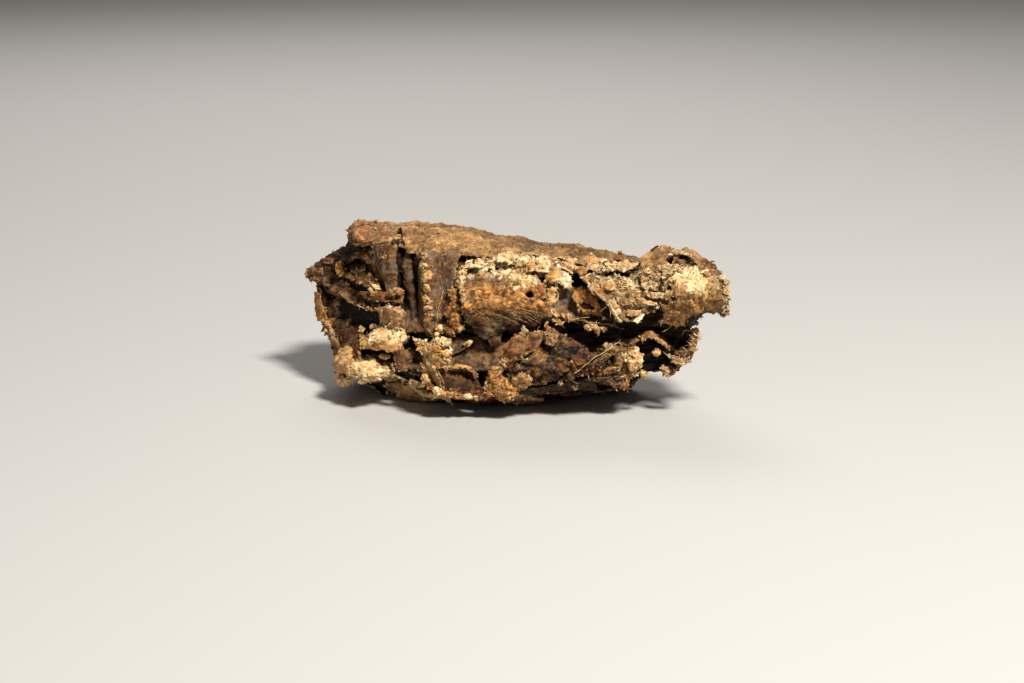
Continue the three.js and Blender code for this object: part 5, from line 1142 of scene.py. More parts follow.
made["orange"] = sheet("right_flakes", [
    [(573, 290, -4.8), (583, 286, -5), (592, 290, -5.0)],
    [(575, 299, -5.5), (588, 297, -6.0), (597, 301, -6.0)],
    [(579, 307, -5.8), (592, 308, -6.3), (602, 311, -6.2)],
    [(584, 314, -5.8), (594, 316, -6.2), (604, 318, -6.2)]], RUSTY, h=0.085, thick=0.22, torn=(0.35, 0.3, 0.3, 0.45), seed=215, grain=0.5, holes=[(0.30, 0.60, 0.36), (0.5, 0.66, 0.2)], fold=0.3, foldsize=0.8)
made["top_a"] = sheet("right_flakes", [
    [(556, 261, -1.6), (570, 260, -1.6), (588, 263, -1.8), (612, 262, -2.0), (638, 264, -2.2)],
    [(560, 266, -3.0), (574, 267, -3.4), (590, 268, -3.6), (612, 268, -3.8), (637, 269, -4.0)],
    [(566, 270, -3.8), (577, 272, -4.4), (592, 271, -4.4), (613, 274, -4.8), (634, 274, -5.0)]], {"a": "sand", "b": "tan", "patch": 0.9, "rust": 0.2, "rim": "cream", "crust": "cream"}, h=0.1, thick=0.28,
    torn=(0.3, 0.3, 0.3, 0.4), seed=217, grain=0.4, pale=0.4, fold=0.3, cracks=(0.9, 0.9), foldsize=1.0, crust=lambda u, v, P: np.exp(-((u - 0.74) / 0.13) ** 2) * 1.3 * smooth(0.2, 0.5, v))
made["top_b"] = sheet("right_flakes", [
    [(522, 250, 0.8), (560, 255, -0.2), (590, 257, -1.0), (622, 260, -1.8)],
    [(520, 255, -2.0), (550, 260, -2.6), (584, 264, -3.2), (620, 266, -3.2)]], {"a": "tan", "b": "bark", "patch": 1.2, "rust": 0.3, "rim": "cream"}, h=0.11, thick=0.2, torn=(0.3, 0.4, 0.2, 0.4), seed=219, grain=0.3, fold=0.25)
made["top_c"] = sheet("right_flakes", [
    [(544, 258, -2.6), (556, 261, -3.0), (570, 266, -3.4)],
    [(546, 262, -3.8), (560, 268, -4.4), (574, 274, -4.8)]], {"a": "bark", "b": "tan", "patch": 0.6, "rust": 0.3, "rim": "cream"}, h=0.085, thick=0.16, torn=(0.3, 0.3, 0.15, 0.3), seed=220, fold=0.3, foldsize=0.8)
made["cavity_back"] = sheet("right_flakes", [
    [(548, 286, -4.6), (564, 284, -4.2), (580, 287, -4.4)],
    [(546, 300, -4.8), (564, 301, -4.4), (581, 304, -4.8)],
    [(548, 318, -5.8), (564, 319, -5.8), (584, 320, -5.8)]], {"a": "bark", "b": "grey", "patch": 1.6, "rust": 0.1, "rim": "brown"}, h=0.14, thick=0.3, torn=(0.1, 0.1, 0.1, 0.2), seed=221, fold=0.1, fine=0.05)
made["twig"] = sheet("right_flakes", [
    [(551, 316, -6.4), (566, 317, -6.4), (582, 320, -6.4), (602, 324, -6.6), (627, 330, -6.8)],
    [(551, 321, -6.9), (566, 322, -6.9), (582, 323, -6.8), (602, 327, -6.9), (627, 332, -7.0)]], {"a": "brown", "b": "grey", "patch": 0.6, "rust": 0.2, "rim": "bark"}, h=0.08, thick=0.16, torn=(0.3, 0.4, 0.15, 0.2),
    grow=(0.1, 0.3, 0.0, 0.0), seed=223)
for k, (x, y, d, r) in enumerate([(556, 321, -6.9, 0.45), (563, 316, -6.9, 0.32), (569, 317, -7.0, 0.4), (560, 324, -7.0, 0.3), (588, 328, -7.1, 0.45), (597, 330, -7.2, 0.5), (604, 329, -7.2, 0.3), (592, 325, -7.1, 0.3)]):
    made["twig_bit%d" % k] = clump("right_flakes", (x, y, d), (r * 1.1, r * 0.8, r * 0.55), CREAM if k % 3 else CRUMB, 2300 + k, n=14, tilt=(0, 12 + 25 * (k % 3), 0))

# -------------------------------------------------------------------- the knob
made["knob"] = lump("right_knob", (688, 286, -4.6), (3.2, 3.7, 2.35), {"a": "bark", "b": "brown", "patch": 1.0, "rust": 0.4, "crust": "tan", "crusting": 0.6}, h=0.14, tilt=(0, -14, 0), seed=231, rough=0.17, crumbs=(0.55, 0.2))
made["knob_crown"] = sheet("right_knob", [
    [(638, 264, 1.2), (651, 256, 0.8), (662, 250, 0.4), (671, 255, 0.2)],
    [(637, 266, -1.4), (650, 257, -1.9), (662, 251, -2.0), (672, 255, -2.0)],
    [(637, 272, -3.2), (649, 267, -3.9), (660, 262, -4.0), (668, 260, -3.4)],
    [(640, 280, -4.6), (651, 276, -5.3), (661, 272, -5.5), (667, 268, -4.8)]], {"a": "tan", "b": "bark", "patch": 1.8, "rust": 0.2, "rim": "cream", "crust": "sand"}, h=0.12, thick=0.5, torn=(0.3, 0.3, 0.4, 0.4),
    seed=233, grain=0.35, fold=0.25, cracks=(1.6, 0.6), toward=np.array([0, -0.6, 0.8]))
made["knob_back"] = lump("right_knob", (679, 264, -2.6), (2.3, 1.5, 0.95), {"a": "bark", "b": "brown", "patch": 1.0, "rust": 0.4, "crust": "tan", "crusting": 0.4}, h=0.14, tilt=(0, 4, 0), seed=232, rough=0.15, crumbs=(0.55, 0.16))
# painted shade: the hollow is a darkened copy of its look
made["knob_hollow"] = sheet("right_knob", [
    [(658, 262, -4.0), (667, 256, -3.2), (680, 257, -3.4)],
    [(660, 268, -4.6), (669, 266, -3.8), (680, 266, -4.2)],
    [(662, 273, -5.4), (671, 272, -5.0), (680, 272, -5.4)]], {"a": "grey", "b": "bark", "patch": 0.8, "rust": 0.4, "rim": "sand", "crust": "sand"}, h=0.1, thick=0.3, torn=(0.2, 0.2, 0.3, 0.2), seed=234, grain=0.3, fold=0.25, cracks=(0.8, 0.8), paint=lambda u, v, P, col, low, cr: 0.45 * col)
made["knob_ridge"] = sheet("right_knob", [
    [(668, 252, -1.4), (680, 254, -1.8), (691, 253, -2.2), (699, 261, -2.8), (704, 271, -3.8)],
    [(669, 253, -3.6), (680, 255, -4.2), (690, 254, -4.6), (697, 262, -5.0), (703, 272, -5.4)],
    [(671, 257, -4.4), (681, 259, -5.2), (689, 258, -5.6), (695, 265, -6.0), (701, 274, -6.2)]], {"a": "tan", "b": "bark", "patch": 0.9, "rust": 0.35, "rim": "cream", "crust": "cream"}, h=0.1, thick=0.35,
    torn=(0.3, 0.2, 0.3, 0.35), seed=235, grain=0.45, fold=0.28, cracks=(1.1, 0.8), foldsize=1.0, toward=np.array([0, -0.6, 0.8]))
# painted shade: the recess is a darkened copy of its look
made["knob_recess"] = sheet("right_knob", [
    [(674, 257, -4.4), (686, 258, -4.8), (697, 264, -5.0)],
    [(673, 264, -5.0), (686, 265, -5.4), (698, 270, -5.8)],
    [(673, 270, -6.0), (686, 272, -6.4), (699, 275, -6.6)]], {"a": "rust", "b": "tan", "patch": 0.6, "rust": 0.4, "rim": "cream", "crust": "cream"}, h=0.09, thick=0.25, torn=(0.2, 0.2, 0.2, 0.3), seed=236, grain=0.3, fold=0.35, foldsize=0.9, cracks=(0.8, 0.8), paint=lambda u, v, P, col, low, cr: 0.5 * col,
    holes=[(0.75, 0.5, 0.35)])


def barrel_crust(u, v, P):
    return np.maximum(smooth(0.50, 0.28, v + 0.05 * np.sin(9 * u)), smooth(0.86, 0.95, u)) + 0.25 * smooth(0.2, 0.05, u)


def barrel_paint(u, v, P, col, low, cr):
    stripes = fbm(np.stack([u * 26, v * 2.5, 0 * u], -1), 1.0, 4, 2391, 0.6)
    warm = lerp(COL["bark"], COL["gold"], smooth(-0.2, 0.4, stripes)) * (0.35 + 0.95 * low)[..., None]
    zone = smooth(0.36, 0.56, v) * smooth(0.98, 0.86, u) * (1 - 0.7 * cr)
    col = lerp(col, warm * (1.0 + 0.35 * smooth(0.2, 0.6, stripes))[..., None], zone * 0.75)
    # painted highlight: cream on the upper rows and the right edge
    painted_highlight = smooth(0.32, 0.62, low) * np.maximum(smooth(0.46, 0.22, v), smooth(0.86, 0.97, u) * smooth(0.7, 0.5, v)) * (0.5 + 0.5 * smooth(-0.3, 0.3, fbm(P, 1.3, 4, 2393)))
    col = lerp(col, COL["cream"] * 0.8, painted_highlight * 0.62)
    worn = smooth(0.0, 0.4, fbm(P, 0.9, 3, 2395))
    col = lerp(col, lerp(COL["bark"], COL["tan"], low)  * (0.45 + 0.6 * low)[..., None], worn * 0.6 * smooth(0.6, 0.4, v))
    # painted shade on the lower rows and the right side
    return col * ((1 - 0.75 * smooth(0.5, 0.95, v + 0.05 * np.sin(8 * u))) * (1 - 0.52 * smooth(0.62, 0.95, u)))[..., None]


made["barrel"] = sheet("right_knob", [
    [(667, 266, -5.0), (680, 265, -5.4), (693, 269, -5.6), (706, 273, -5.2), (719, 278, -4.6)],
    [(663, 276, -7.2), (677, 275, -8.0), (692, 277, -8.2), (707, 280, -7.8), (722, 284, -6.2)],
    [(665, 287, -8.1), (679, 289, -9.2), (693, 290, -9.5), (708, 291, -8.9), (724, 293, -6.9)],
    [(668, 299, -7.9), (681, 301, -9.1), (694, 302, -9.3), (709, 302, -8.7), (725, 303, -6.9)],
    [(673, 309, -6.9), (683, 311, -8.0), (695, 311, -8.2), (709, 309, -7.7), (725, 310, -6.6)],
    [(678, 313, -5), (686, 314, -6), (697, 311, -6), (710, 309, -5.6), (723, 309, -5.2)]], KNOB, h=0.095, thick=0.4, torn=(0.4, 0.5, 0.35, 0.4), grow=(0.2, 0.3, 0.2, 0.1), seed=237,
    fold=0.26, foldsize=1.2, fine=0.1, grain=0.6, fibre=1.0, cracks=(1.2, 0.5), turn=True, pale=0.45, crust=barrel_crust, paint=barrel_paint, crustsize=0.4, bulk=0.3,
    holes=[(0.16, 0.24, 0.22), (0.10, 0.40, 0.26), (0.17, 0.52, 0.22), (0.44, 0.10, 0.2)])
made["knob_patch"] = sheet("right_knob", [
    [(641, 276, -5.6), (654, 272, -6.2), (668, 270, -6.6)],
    [(642, 284, -6.6), (655, 281, -7.2), (669, 281, -7.8)],
    [(646, 293, -7.4), (657, 292, -8.0), (669, 292, -8.4)]], {"a": "tan", "b": "grey", "patch": 0.5, "rust": 0.3, "rim": "sand", "crust": "sand"}, h=0.09, thick=0.25, torn=(0.35, 0.3, 0.3, 0.4), seed=238, grain=0.5, pale=0.3, fold=0.35, cracks=(0.8, 1.0),
    foldsize=0.8, crustsize=0.38, crust=lambda u, v, P: 0.9 * smooth(0.35, 0.6, fbm(P, 0.9, 3, 2381) + 0.45))
made["knob_fringe"] = sheet("right_knob", [
    [(668, 298, -7.8), (680, 304, -8.4), (692, 311, -8.0)],
    [(666, 307, -8.2), (677, 311, -8.5), (689, 316, -7.9)],
    [(662, 317, -7.9), (671, 319, -8.1), (682, 321, -7.5)],
    [(660, 323, -7.5), (669, 325, -7.7), (678, 325, -7.1)]], {"a": "bark", "b": "gold", "patch": 0.6, "rust": 0.4, "rim": "cream", "crust": "gold"}, h=0.09, thick=0.3, torn=(0.35, 0.35, 0.1, 0.5), seed=239, grain=0.6, fold=0.35,
    foldsize=0.8, fibre=1.0, turn=True)
# painted shade: a dark sheet behind the knob's fringe
made["fringe_back"] = sheet("right_knob", [
    [(664, 300, -5.0), (680, 306, -5.2), (700, 308, -5.0)],
    [(664, 312, -5.2), (680, 316, -5.4), (698, 316, -5.0)],
    [(660, 322, -5.0), (676, 325, -5.0), (690, 324, -4.6)]], SHADE_DARK, h=0.12, thick=0.3, torn=(0.3, 0.3, 0.1, 0.4), seed=240, grain=0.2)
for k, (x, y, d, r) in enumerate([(726, 310, -6.5, 0.32), (722, 283, -6.2, 0.3), (725, 296, -6.8, 0.3), (662, 250, -1.2, 0.35), (668, 313, -8.6, 0.16), (646, 292, -8.2, 0.14), (604, 318, -6.6, 0.14), (716, 278, -5.6, 0.3)]):
    made["tip%d" % k] = clump("right_knob", (x, y, d), (r, r, r * 0.8), CREAM, 2400 + k, n=8)

# --------------------------------------------------------- the lower right end
made["arc"] = sheet("end_flakes", [
    [(642, 338, -3.4), (651, 334, -3.4), (660, 338, -3.4), (670, 346, -3.2)],
    [(641, 339, -7.4), (650, 334, -7.8), (660, 339, -7.8), (670, 348, -7.4)],
    [(643, 342, -8.0), (651, 339, -8.4), (659, 344, -8.4), (668, 350, -8.0)]], {"a": "gold", "b": "bark", "patch": 0.6, "rust": 0.4, "rim": "cream"}, h=0.09, thick=0.25, torn=(0.2, 0.3, 0.1, 0.25), seed=241, grain=0.5, fold=0.2)
made["upright"] = sheet("end_flakes", [
    [(692, 327, -6.6), (696, 327, -7.2), (700, 327, -7.6)],
    [(693, 337, -7.0), (697, 337, -7.6), (701, 337, -8.0)],
    [(688, 348, -7.2), (693, 348, -7.9), (697, 348, -8.2)],
    [(684, 358, -7.4), (689, 358, -8.0), (693, 358, -8.2)]], TWIG, h=0.085, thick=0.16, torn=(0.12, 0.12, 0.3, 0.3), seed=243, fold=0.2, foldsize=0.8)
# a dark layered wall, kept dark as painted shade in the hole under the knob
made["end_wall"] = sheet("end_flakes", [
    [(664, 330, -1.5), (678, 328, -2.6), (692, 328, -4.6)],
    [(660, 344, -2.0), (676, 344, -3.4), (692, 342, -5.6)],
    [(654, 362, -2.4), (672, 362, -4.2), (686, 360, -6.0)],
    [(648, 374, -3.0), (664, 374, -4.6), (678, 370, -6.0)]], {"a": "umber", "b": "slate", "patch": 0.8, "rust": 0.4, "rim": "bark"}, h=0.11, thick=0.3, torn=(0.4, 0.4, 0.4, 0.5), seed=244, fold=0.42, foldsize=1.0, grain=0.35, rugged=0.22, cracks=(1.0, 0.8), fibre=0.8)
for k, (net, look) in enumerate([
        ([[(666, 354, -7.0), (680, 357, -7.6), (694, 356, -8.0)], [(668, 359, -7.4), (680, 363, -8.1), (692, 361, -8.3)]], TWIG),
        ([[(672, 359, -7.0), (682, 362, -7.6), (693, 360, -8.0)], [(670, 365, -7.6), (680, 368, -8.2), (690, 365, -8.2)]], {"a": "bark", "b": "tan", "patch": 0.6, "rust": 0.4, "rim": "cream"}),
        ([[(660, 366, -6.6), (671, 370, -7.2), (685, 364, -7.6)], [(663, 376, -7.0), (670, 378, -7.6), (678, 371, -7.8)]], {"a": "tan", "b": "bark", "patch": 0.5, "rust": 0.3, "rim": "cream", "crust": "cream"}),
        ([[(676, 350, -5.8), (685, 349, -6.4), (692, 350, -7.2)], [(674, 356, -6.6), (684, 358, -7.2), (692, 357, -7.6)]], {"a": "bark", "b": "brown", "patch": 0.5, "rust": 0.3, "rim": "tan"})]):
    made["cup%d" % k] = sheet("end_flakes", net, look, h=0.085, thick=0.16, torn=(0.3, 0.3, 0.15, 0.3), grow=(0.15, 0.15, 0, 0.1), seed=2450 + 9 * k, grain=0.35, fold=0.3, foldsize=0.8, fibre=0.9)
for k, (net, look) in enumerate([
        ([[(612, 340, -5.8), (620, 337, -6.4), (628, 339, -6.6)], [(613, 346, -6.4), (620, 345, -7.0), (627, 346, -7.0)]], DARKF),
        ([[(600, 371, -8.4), (611, 367, -8.8), (622, 365, -8.8)], [(594, 378, -8.8), (607, 375, -9.2), (620, 372, -9.1)]], {"a": "bark", "b": "rust", "patch": 0.6, "rust": 0.3, "rim": "sand"}),
        ([[(606, 377, -8.8), (615, 375, -9.0), (625, 375, -9.0)], [(607, 384, -8.6), (616, 385, -9.0), (624, 383, -8.9)]], {"a": "brown", "b": "bark", "patch": 0.6, "rust": 0.3, "rim": "sand"}),
        ([[(622, 342, -6.8), (630, 338, -7.2), (637, 334, -7.4)], [(624, 348, -7.2), (632, 345, -7.8), (640, 341, -7.8)]], {"a": "bark", "b": "brown", "patch": 0.6, "rust": 0.3, "rim": "sand"})]):
    made["under%d" % k] = sheet("end_flakes", net, look, h=0.085, thick=0.13, torn=(0.4, 0.4, 0.15, 0.4), grow=(0.2, 0.2, 0, 0.2), seed=2550 + 9 * k, grain=0.25, fold=0.22, foldsize=0.9, cracks=(0.8, 0.7), fibre=0.9)
made["cup_bit"] = clump("end_flakes", (666, 370, -7.2), (0.55, 0.5, 0.3), CREAM, 247, n=20, tilt=(0, 35, 0))
made["bead"] = clump("end_flakes", (656, 352, -7.6), (0.38, 0.6, 0.34), CREAM, 249, n=12)
made["side_cluster"] = lump("end_flakes", (633, 360, -7.8), (0.75, 1.1, 1.1), {**CREAM}, h=0.085, seed=251, rough=0.4, crumbs=(0.4, 0.34), tilt=(0, 15, 0))
made["side_tail"] = clump("end_flakes", (643, 374, -7.6), (0.26, 0.4, 0.55), CRUMB, 253, n=12, tilt=(0, -35, 0))
made["low_right"] = sheet("end_flakes", [
    [(612, 362, -5.6), (621, 354, -5.8), (630, 350, -5.8)],
    [(604, 370, -7.2), (616, 364, -7.6), (628, 360, -7.6)],
    [(595, 379, -8), (611, 376, -8.6), (626, 373, -8.6)],
    [(604, 383, -7.4), (618, 387, -8.2), (629, 386, -8)]], {"a": "brown", "b": "bark", "patch": 0.6, "rust": 0.3, "rim": "sand", "crust": "sand"}, h=0.08, thick=0.14, torn=(0.5, 0.5, 0.2, 0.6), seed=255, grain=0.3, fold=0.2, foldsize=1.2, cracks=(0.9, 0.9))
made["low_right2"] = sheet("end_flakes", [
    [(618, 348, -6.4), (624, 345, -6.6), (629, 348, -6.6)],
    [(615, 357, -7.2), (622, 356, -7.6), (628, 357, -7.6)],
    [(612, 366, -7.8), (620, 366, -8.2), (627, 367, -8.2)]], {"a": "brown", "b": "bark", "patch": 0.5, "rust": 0.3, "rim": "tan"}, h=0.085, thick=0.16, torn=(0.3, 0.3, 0.2, 0.3), seed=256, grain=0.4, fold=0.35, foldsize=0.7)
made["low_end"] = sheet("end_flakes", [
    [(620, 372, -7.8), (626, 370, -8.2), (633, 372, -8.2)],
    [(619, 380, -8.2), (626, 380, -8.6), (631, 380, -8.4)],
    [(618, 388, -8.2), (624, 390, -8.5), (630, 387, -8.3)]], {"a": "tan", "b": "rust", "patch": 0.4, "rust": 0.2, "rim": "cream", "crust": "sand"}, h=0.085, thick=0.2, torn=(0.3, 0.3, 0.2, 0.35), seed=257, grain=0.7, fold=0.4, foldsize=0.6)


# ------------------------------------------------- back, top, ends, underside
def body_flake(s0, h0, size, turn_by, look, seed, rise=0.45, h=0.235, to="back_flakes"):
    """A torn layer lying on the body: its far edge is lifted and its near edge buried."""
    c, s = math.cos(turn_by), math.sin(turn_by)
    rows = []
    for v in np.linspace(0, 1, 4):
        row = []
        for u in np.linspace(-1, 1, 5):
            a, b = u * size[0] / 2, (v - 0.5) * size[1]
            ds, dh = (a * s + b * c) / 40.0, (a * c - b * s) / 41.0
            hh = min(max(h0 + dh, 0.012), 0.988)
            p = body_at(s0 + ds, hh)
            q = body_at(s0 + ds + 0.004, hh)
            r = body_at(s0 + ds, min(hh + 0.006, 0.998))
            n = np.cross(q - p, r - p)
            n /= np.linalg.norm(n) + 1e-9
            m = body_at(np.linspace(0, 1, 12)[:-1], np.full(11, hh)).mean(0)
            if n @ (p - m) < 0:
                n = -n
            off = -0.3 + (rise + 0.45) * v ** 1.3 + 0.12 * rise * math.cos(3 * u + seed)
            row.append(tuple(p + n * off))
        rows.append(row)
    middle = np.array(rows[1][2])
    centre = body_at(np.linspace(0, 1, 12)[:-1], np.full(11, h0)).mean(0)
    return sheet(to, rows, look, h=h, thick=0.35, torn=(0.7, 0.7, 0.0, 0.9), grow=(0.2, 0.2, 0.0, 0.4), seed=seed,
                 fold=0.3, foldsize=1.8, fine=0.06, grain=0.25, toward=middle - centre, mm=True)


LOOKS = [PAGE, WALL, FLAKE, RUSTY, {"a": "bark", "b": "tan", "patch": 1.6, "rust": 0.4, "rim": "cream"}, TWIG,
         {"a": "brown", "b": "bark", "patch": 1.5, "rust": 0.5, "rim": "sand"}]
backs = []
count = 0
spots = np.random.default_rng(4411)
while count < 64:
    s0 = spots.uniform(0.42, 0.985)
    h0 = spots.uniform(0.12, 0.88)
    if (s0 < 0.5 and spots.random() < 0.4) or (h0 < 0.2 and s0 > 0.84):
        continue
    size = (spots.uniform(3.0, 6.5), spots.uniform(2.2, 4.2))
    backs.append(body_flake(s0, h0, size, spots.uniform(-0.7, 0.7) + (math.pi if spots.random() < 0.35 else 0), LOOKS[count % len(LOOKS)],
                            1000 + count, rise=spots.uniform(0.25, 0.75) * (0.3 if s0 < 0.53 or s0 > 0.88 else 1.0)))
    count += 1
for k in range(9):
    # the two ends
    h0 = 0.10 if k < 5 else 0.93
    if k < 3:
        spots.random(6)
        continue
    backs.append(body_flake(spots.uniform(0.5, 0.8), h0, (spots.uniform(1.8, 3), spots.uniform(1.5, 2.6)), spots.uniform(0, 6.28), LOOKS[k % len(LOOKS)],
                            1100 + k, rise=0.25, h=0.18, to="end_layers"))

# --------------------------------------------------- small loose-edged flakes
def chips(to, s, n, size, looks, seed, where="edge", h=0.1, lean=0.5):
    """Small torn flakes standing out of a made surface."""
    r = np.random.default_rng(seed)
    w = np.clip(s[where], 0, 1) ** 1.5 + 0.02
    pick = r.choice(len(w), size=n, p=w / w.sum())
    for k, i in enumerate(pick):
        p, nn = s["P"][i], s["N"][i]
        t = r.normal(size=3)
        t -= nn * (t @ nn) * (1 - lean * 0.4)
        t /= np.linalg.norm(t)
        b = np.cross(nn, t)
        b /= np.linalg.norm(b) + 1e-9
        a, c = r.uniform(*size), r.uniform(*size) * 0.7
        net = []
        for v in (0, 0.5, 1.0):
            row = []
            for u in (-0.5, 0, 0.5):
                row.append(tuple(p + t * (u * a) + b * (v * c - 0.3 * c) + nn * (0.05 + lean * c * v * v - 0.3 * a * u * u * r.uniform(-0.5, 1))))
            net.append(row)
        look = looks[k % len(looks)]
        sheet(to, net, look, h=h, thick=0.13, torn=(0.22, 0.22, 0.1, 0.3), grow=(0.05, 0.05, 0.0, 0.1), seed=seed * 7 + k, fold=0.1, foldsize=0.7,
              fine=0.03, grain=0.3, toward=nn, mm=True, lift=0.05)


BITS = [FLAKE, CREAM, RUSTY, CRUMB]
chips("small_flakes", made["slab"], 14, (0.8, 1.8), BITS, 501, h=0.13, lean=0.15)
chips("small_flakes", made["page_long"], 6, (0.6, 1.2), BITS, 503)
chips("small_flakes", made["page_upper"], 4, (0.6, 1.2), BITS, 505)
chips("small_flakes", made["curl"], 16, (0.6, 1.5), [CREAM, SHELL, CRUMB], 507, where="crust")
chips("small_flakes", made["saddle"], 14, (0.6, 1.6), BITS, 509)
chips("small_flakes", made["saddle_back"], 8, (0.5, 1.2), BITS, 511)
chips("small_flakes", made["top_a"], 8, (0.6, 1.3), BITS, 513)
chips("small_flakes", made["knob_crown"], 8, (0.6, 1.3), BITS, 515, lean=0.15)
chips("small_flakes", made["knob_ridge"], 7, (0.5, 1.2), BITS, 516)
chips("small_flakes", made["barrel"], 16, (0.5, 1.2), [KNOB, CREAM, CRUMB], 518, where="crust")
chips("small_flakes", made["lower_sheet"], 12, (0.6, 1.4), [FLAKE, RUSTY, DARKF], 519)
chips("small_flakes", made["cluster"], 34, (0.4, 1.0), [CRUMB, RUSTY, CRUMB], 521, h=0.08)
chips("small_flakes", made["cluster_left"], 12, (0.4, 0.9), [CRUMB, RUSTY], 541, h=0.08)
chips("small_flakes", made["cluster_right"], 14, (0.4, 0.9), [CRUMB, CREAM, RUSTY], 543, h=0.08)
chips("small_flakes", made["crumb_flake"], 12, (0.4, 0.9), [CRUMB, CREAM], 545, h=0.08)
chips("small_flakes", made["gold_column"], 14, (0.4, 0.9), [CRUMB, RUSTY, CREAM], 547, h=0.08)
chips("small_flakes", made["gold_upper"], 10, (0.4, 0.9), [CRUMB, CREAM], 549, h=0.08)
chips("small_flakes", made["side_cluster"], 16, (0.4, 0.9), [CREAM, CRUMB], 551, h=0.08)
chips("small_flakes", made["lower_fold"], 10, (0.4, 1.0), [RUSTY, CRUMB], 553, h=0.08)
chips("small_flakes", made["knob_patch"], 14, (0.4, 1.0), [CREAM, CRUMB, FLAKE], 555, h=0.08)
chips("small_flakes", made["knob_fringe"], 10, (0.4, 1.0), [KNOB, CRUMB], 557, h=0.08)
chips("small_flakes", made["foot_top"], 6, (0.4, 0.9), [CREAM, CRUMB], 559, h=0.08)
chips("small_flakes", made["low_right"], 8, (0.5, 1.2), BITS, 523)
chips("small_flakes", made["cup0"], 3, (0.4, 0.8), BITS, 525)
chips("small_flakes", made["cup2"], 3, (0.4, 0.8), BITS, 526)
chips("small_flakes", made["upright"], 6, (0.5, 1.1), [TWIG, FLAKE], 527)
chips("small_flakes", made["curtain"], 8, (0.4, 0.9), [FOLD, CRUMB, RUSTY], 529, where="crust")
chips("small_flakes", made["bowl"], 6, (0.5, 1.1), [BOWL, CRUMB], 531)
chips("small_flakes", made["low_a"], 6, (0.5, 1.0), BITS, 534, lean=0.2)
chips("small_flakes", made["wall"], 8, (0.6, 1.3), [WALL, CRUMB], 535)
chips("small_flakes", made["foot"], 5, (0.5, 1.0), [CREAM, CRUMB], 537)

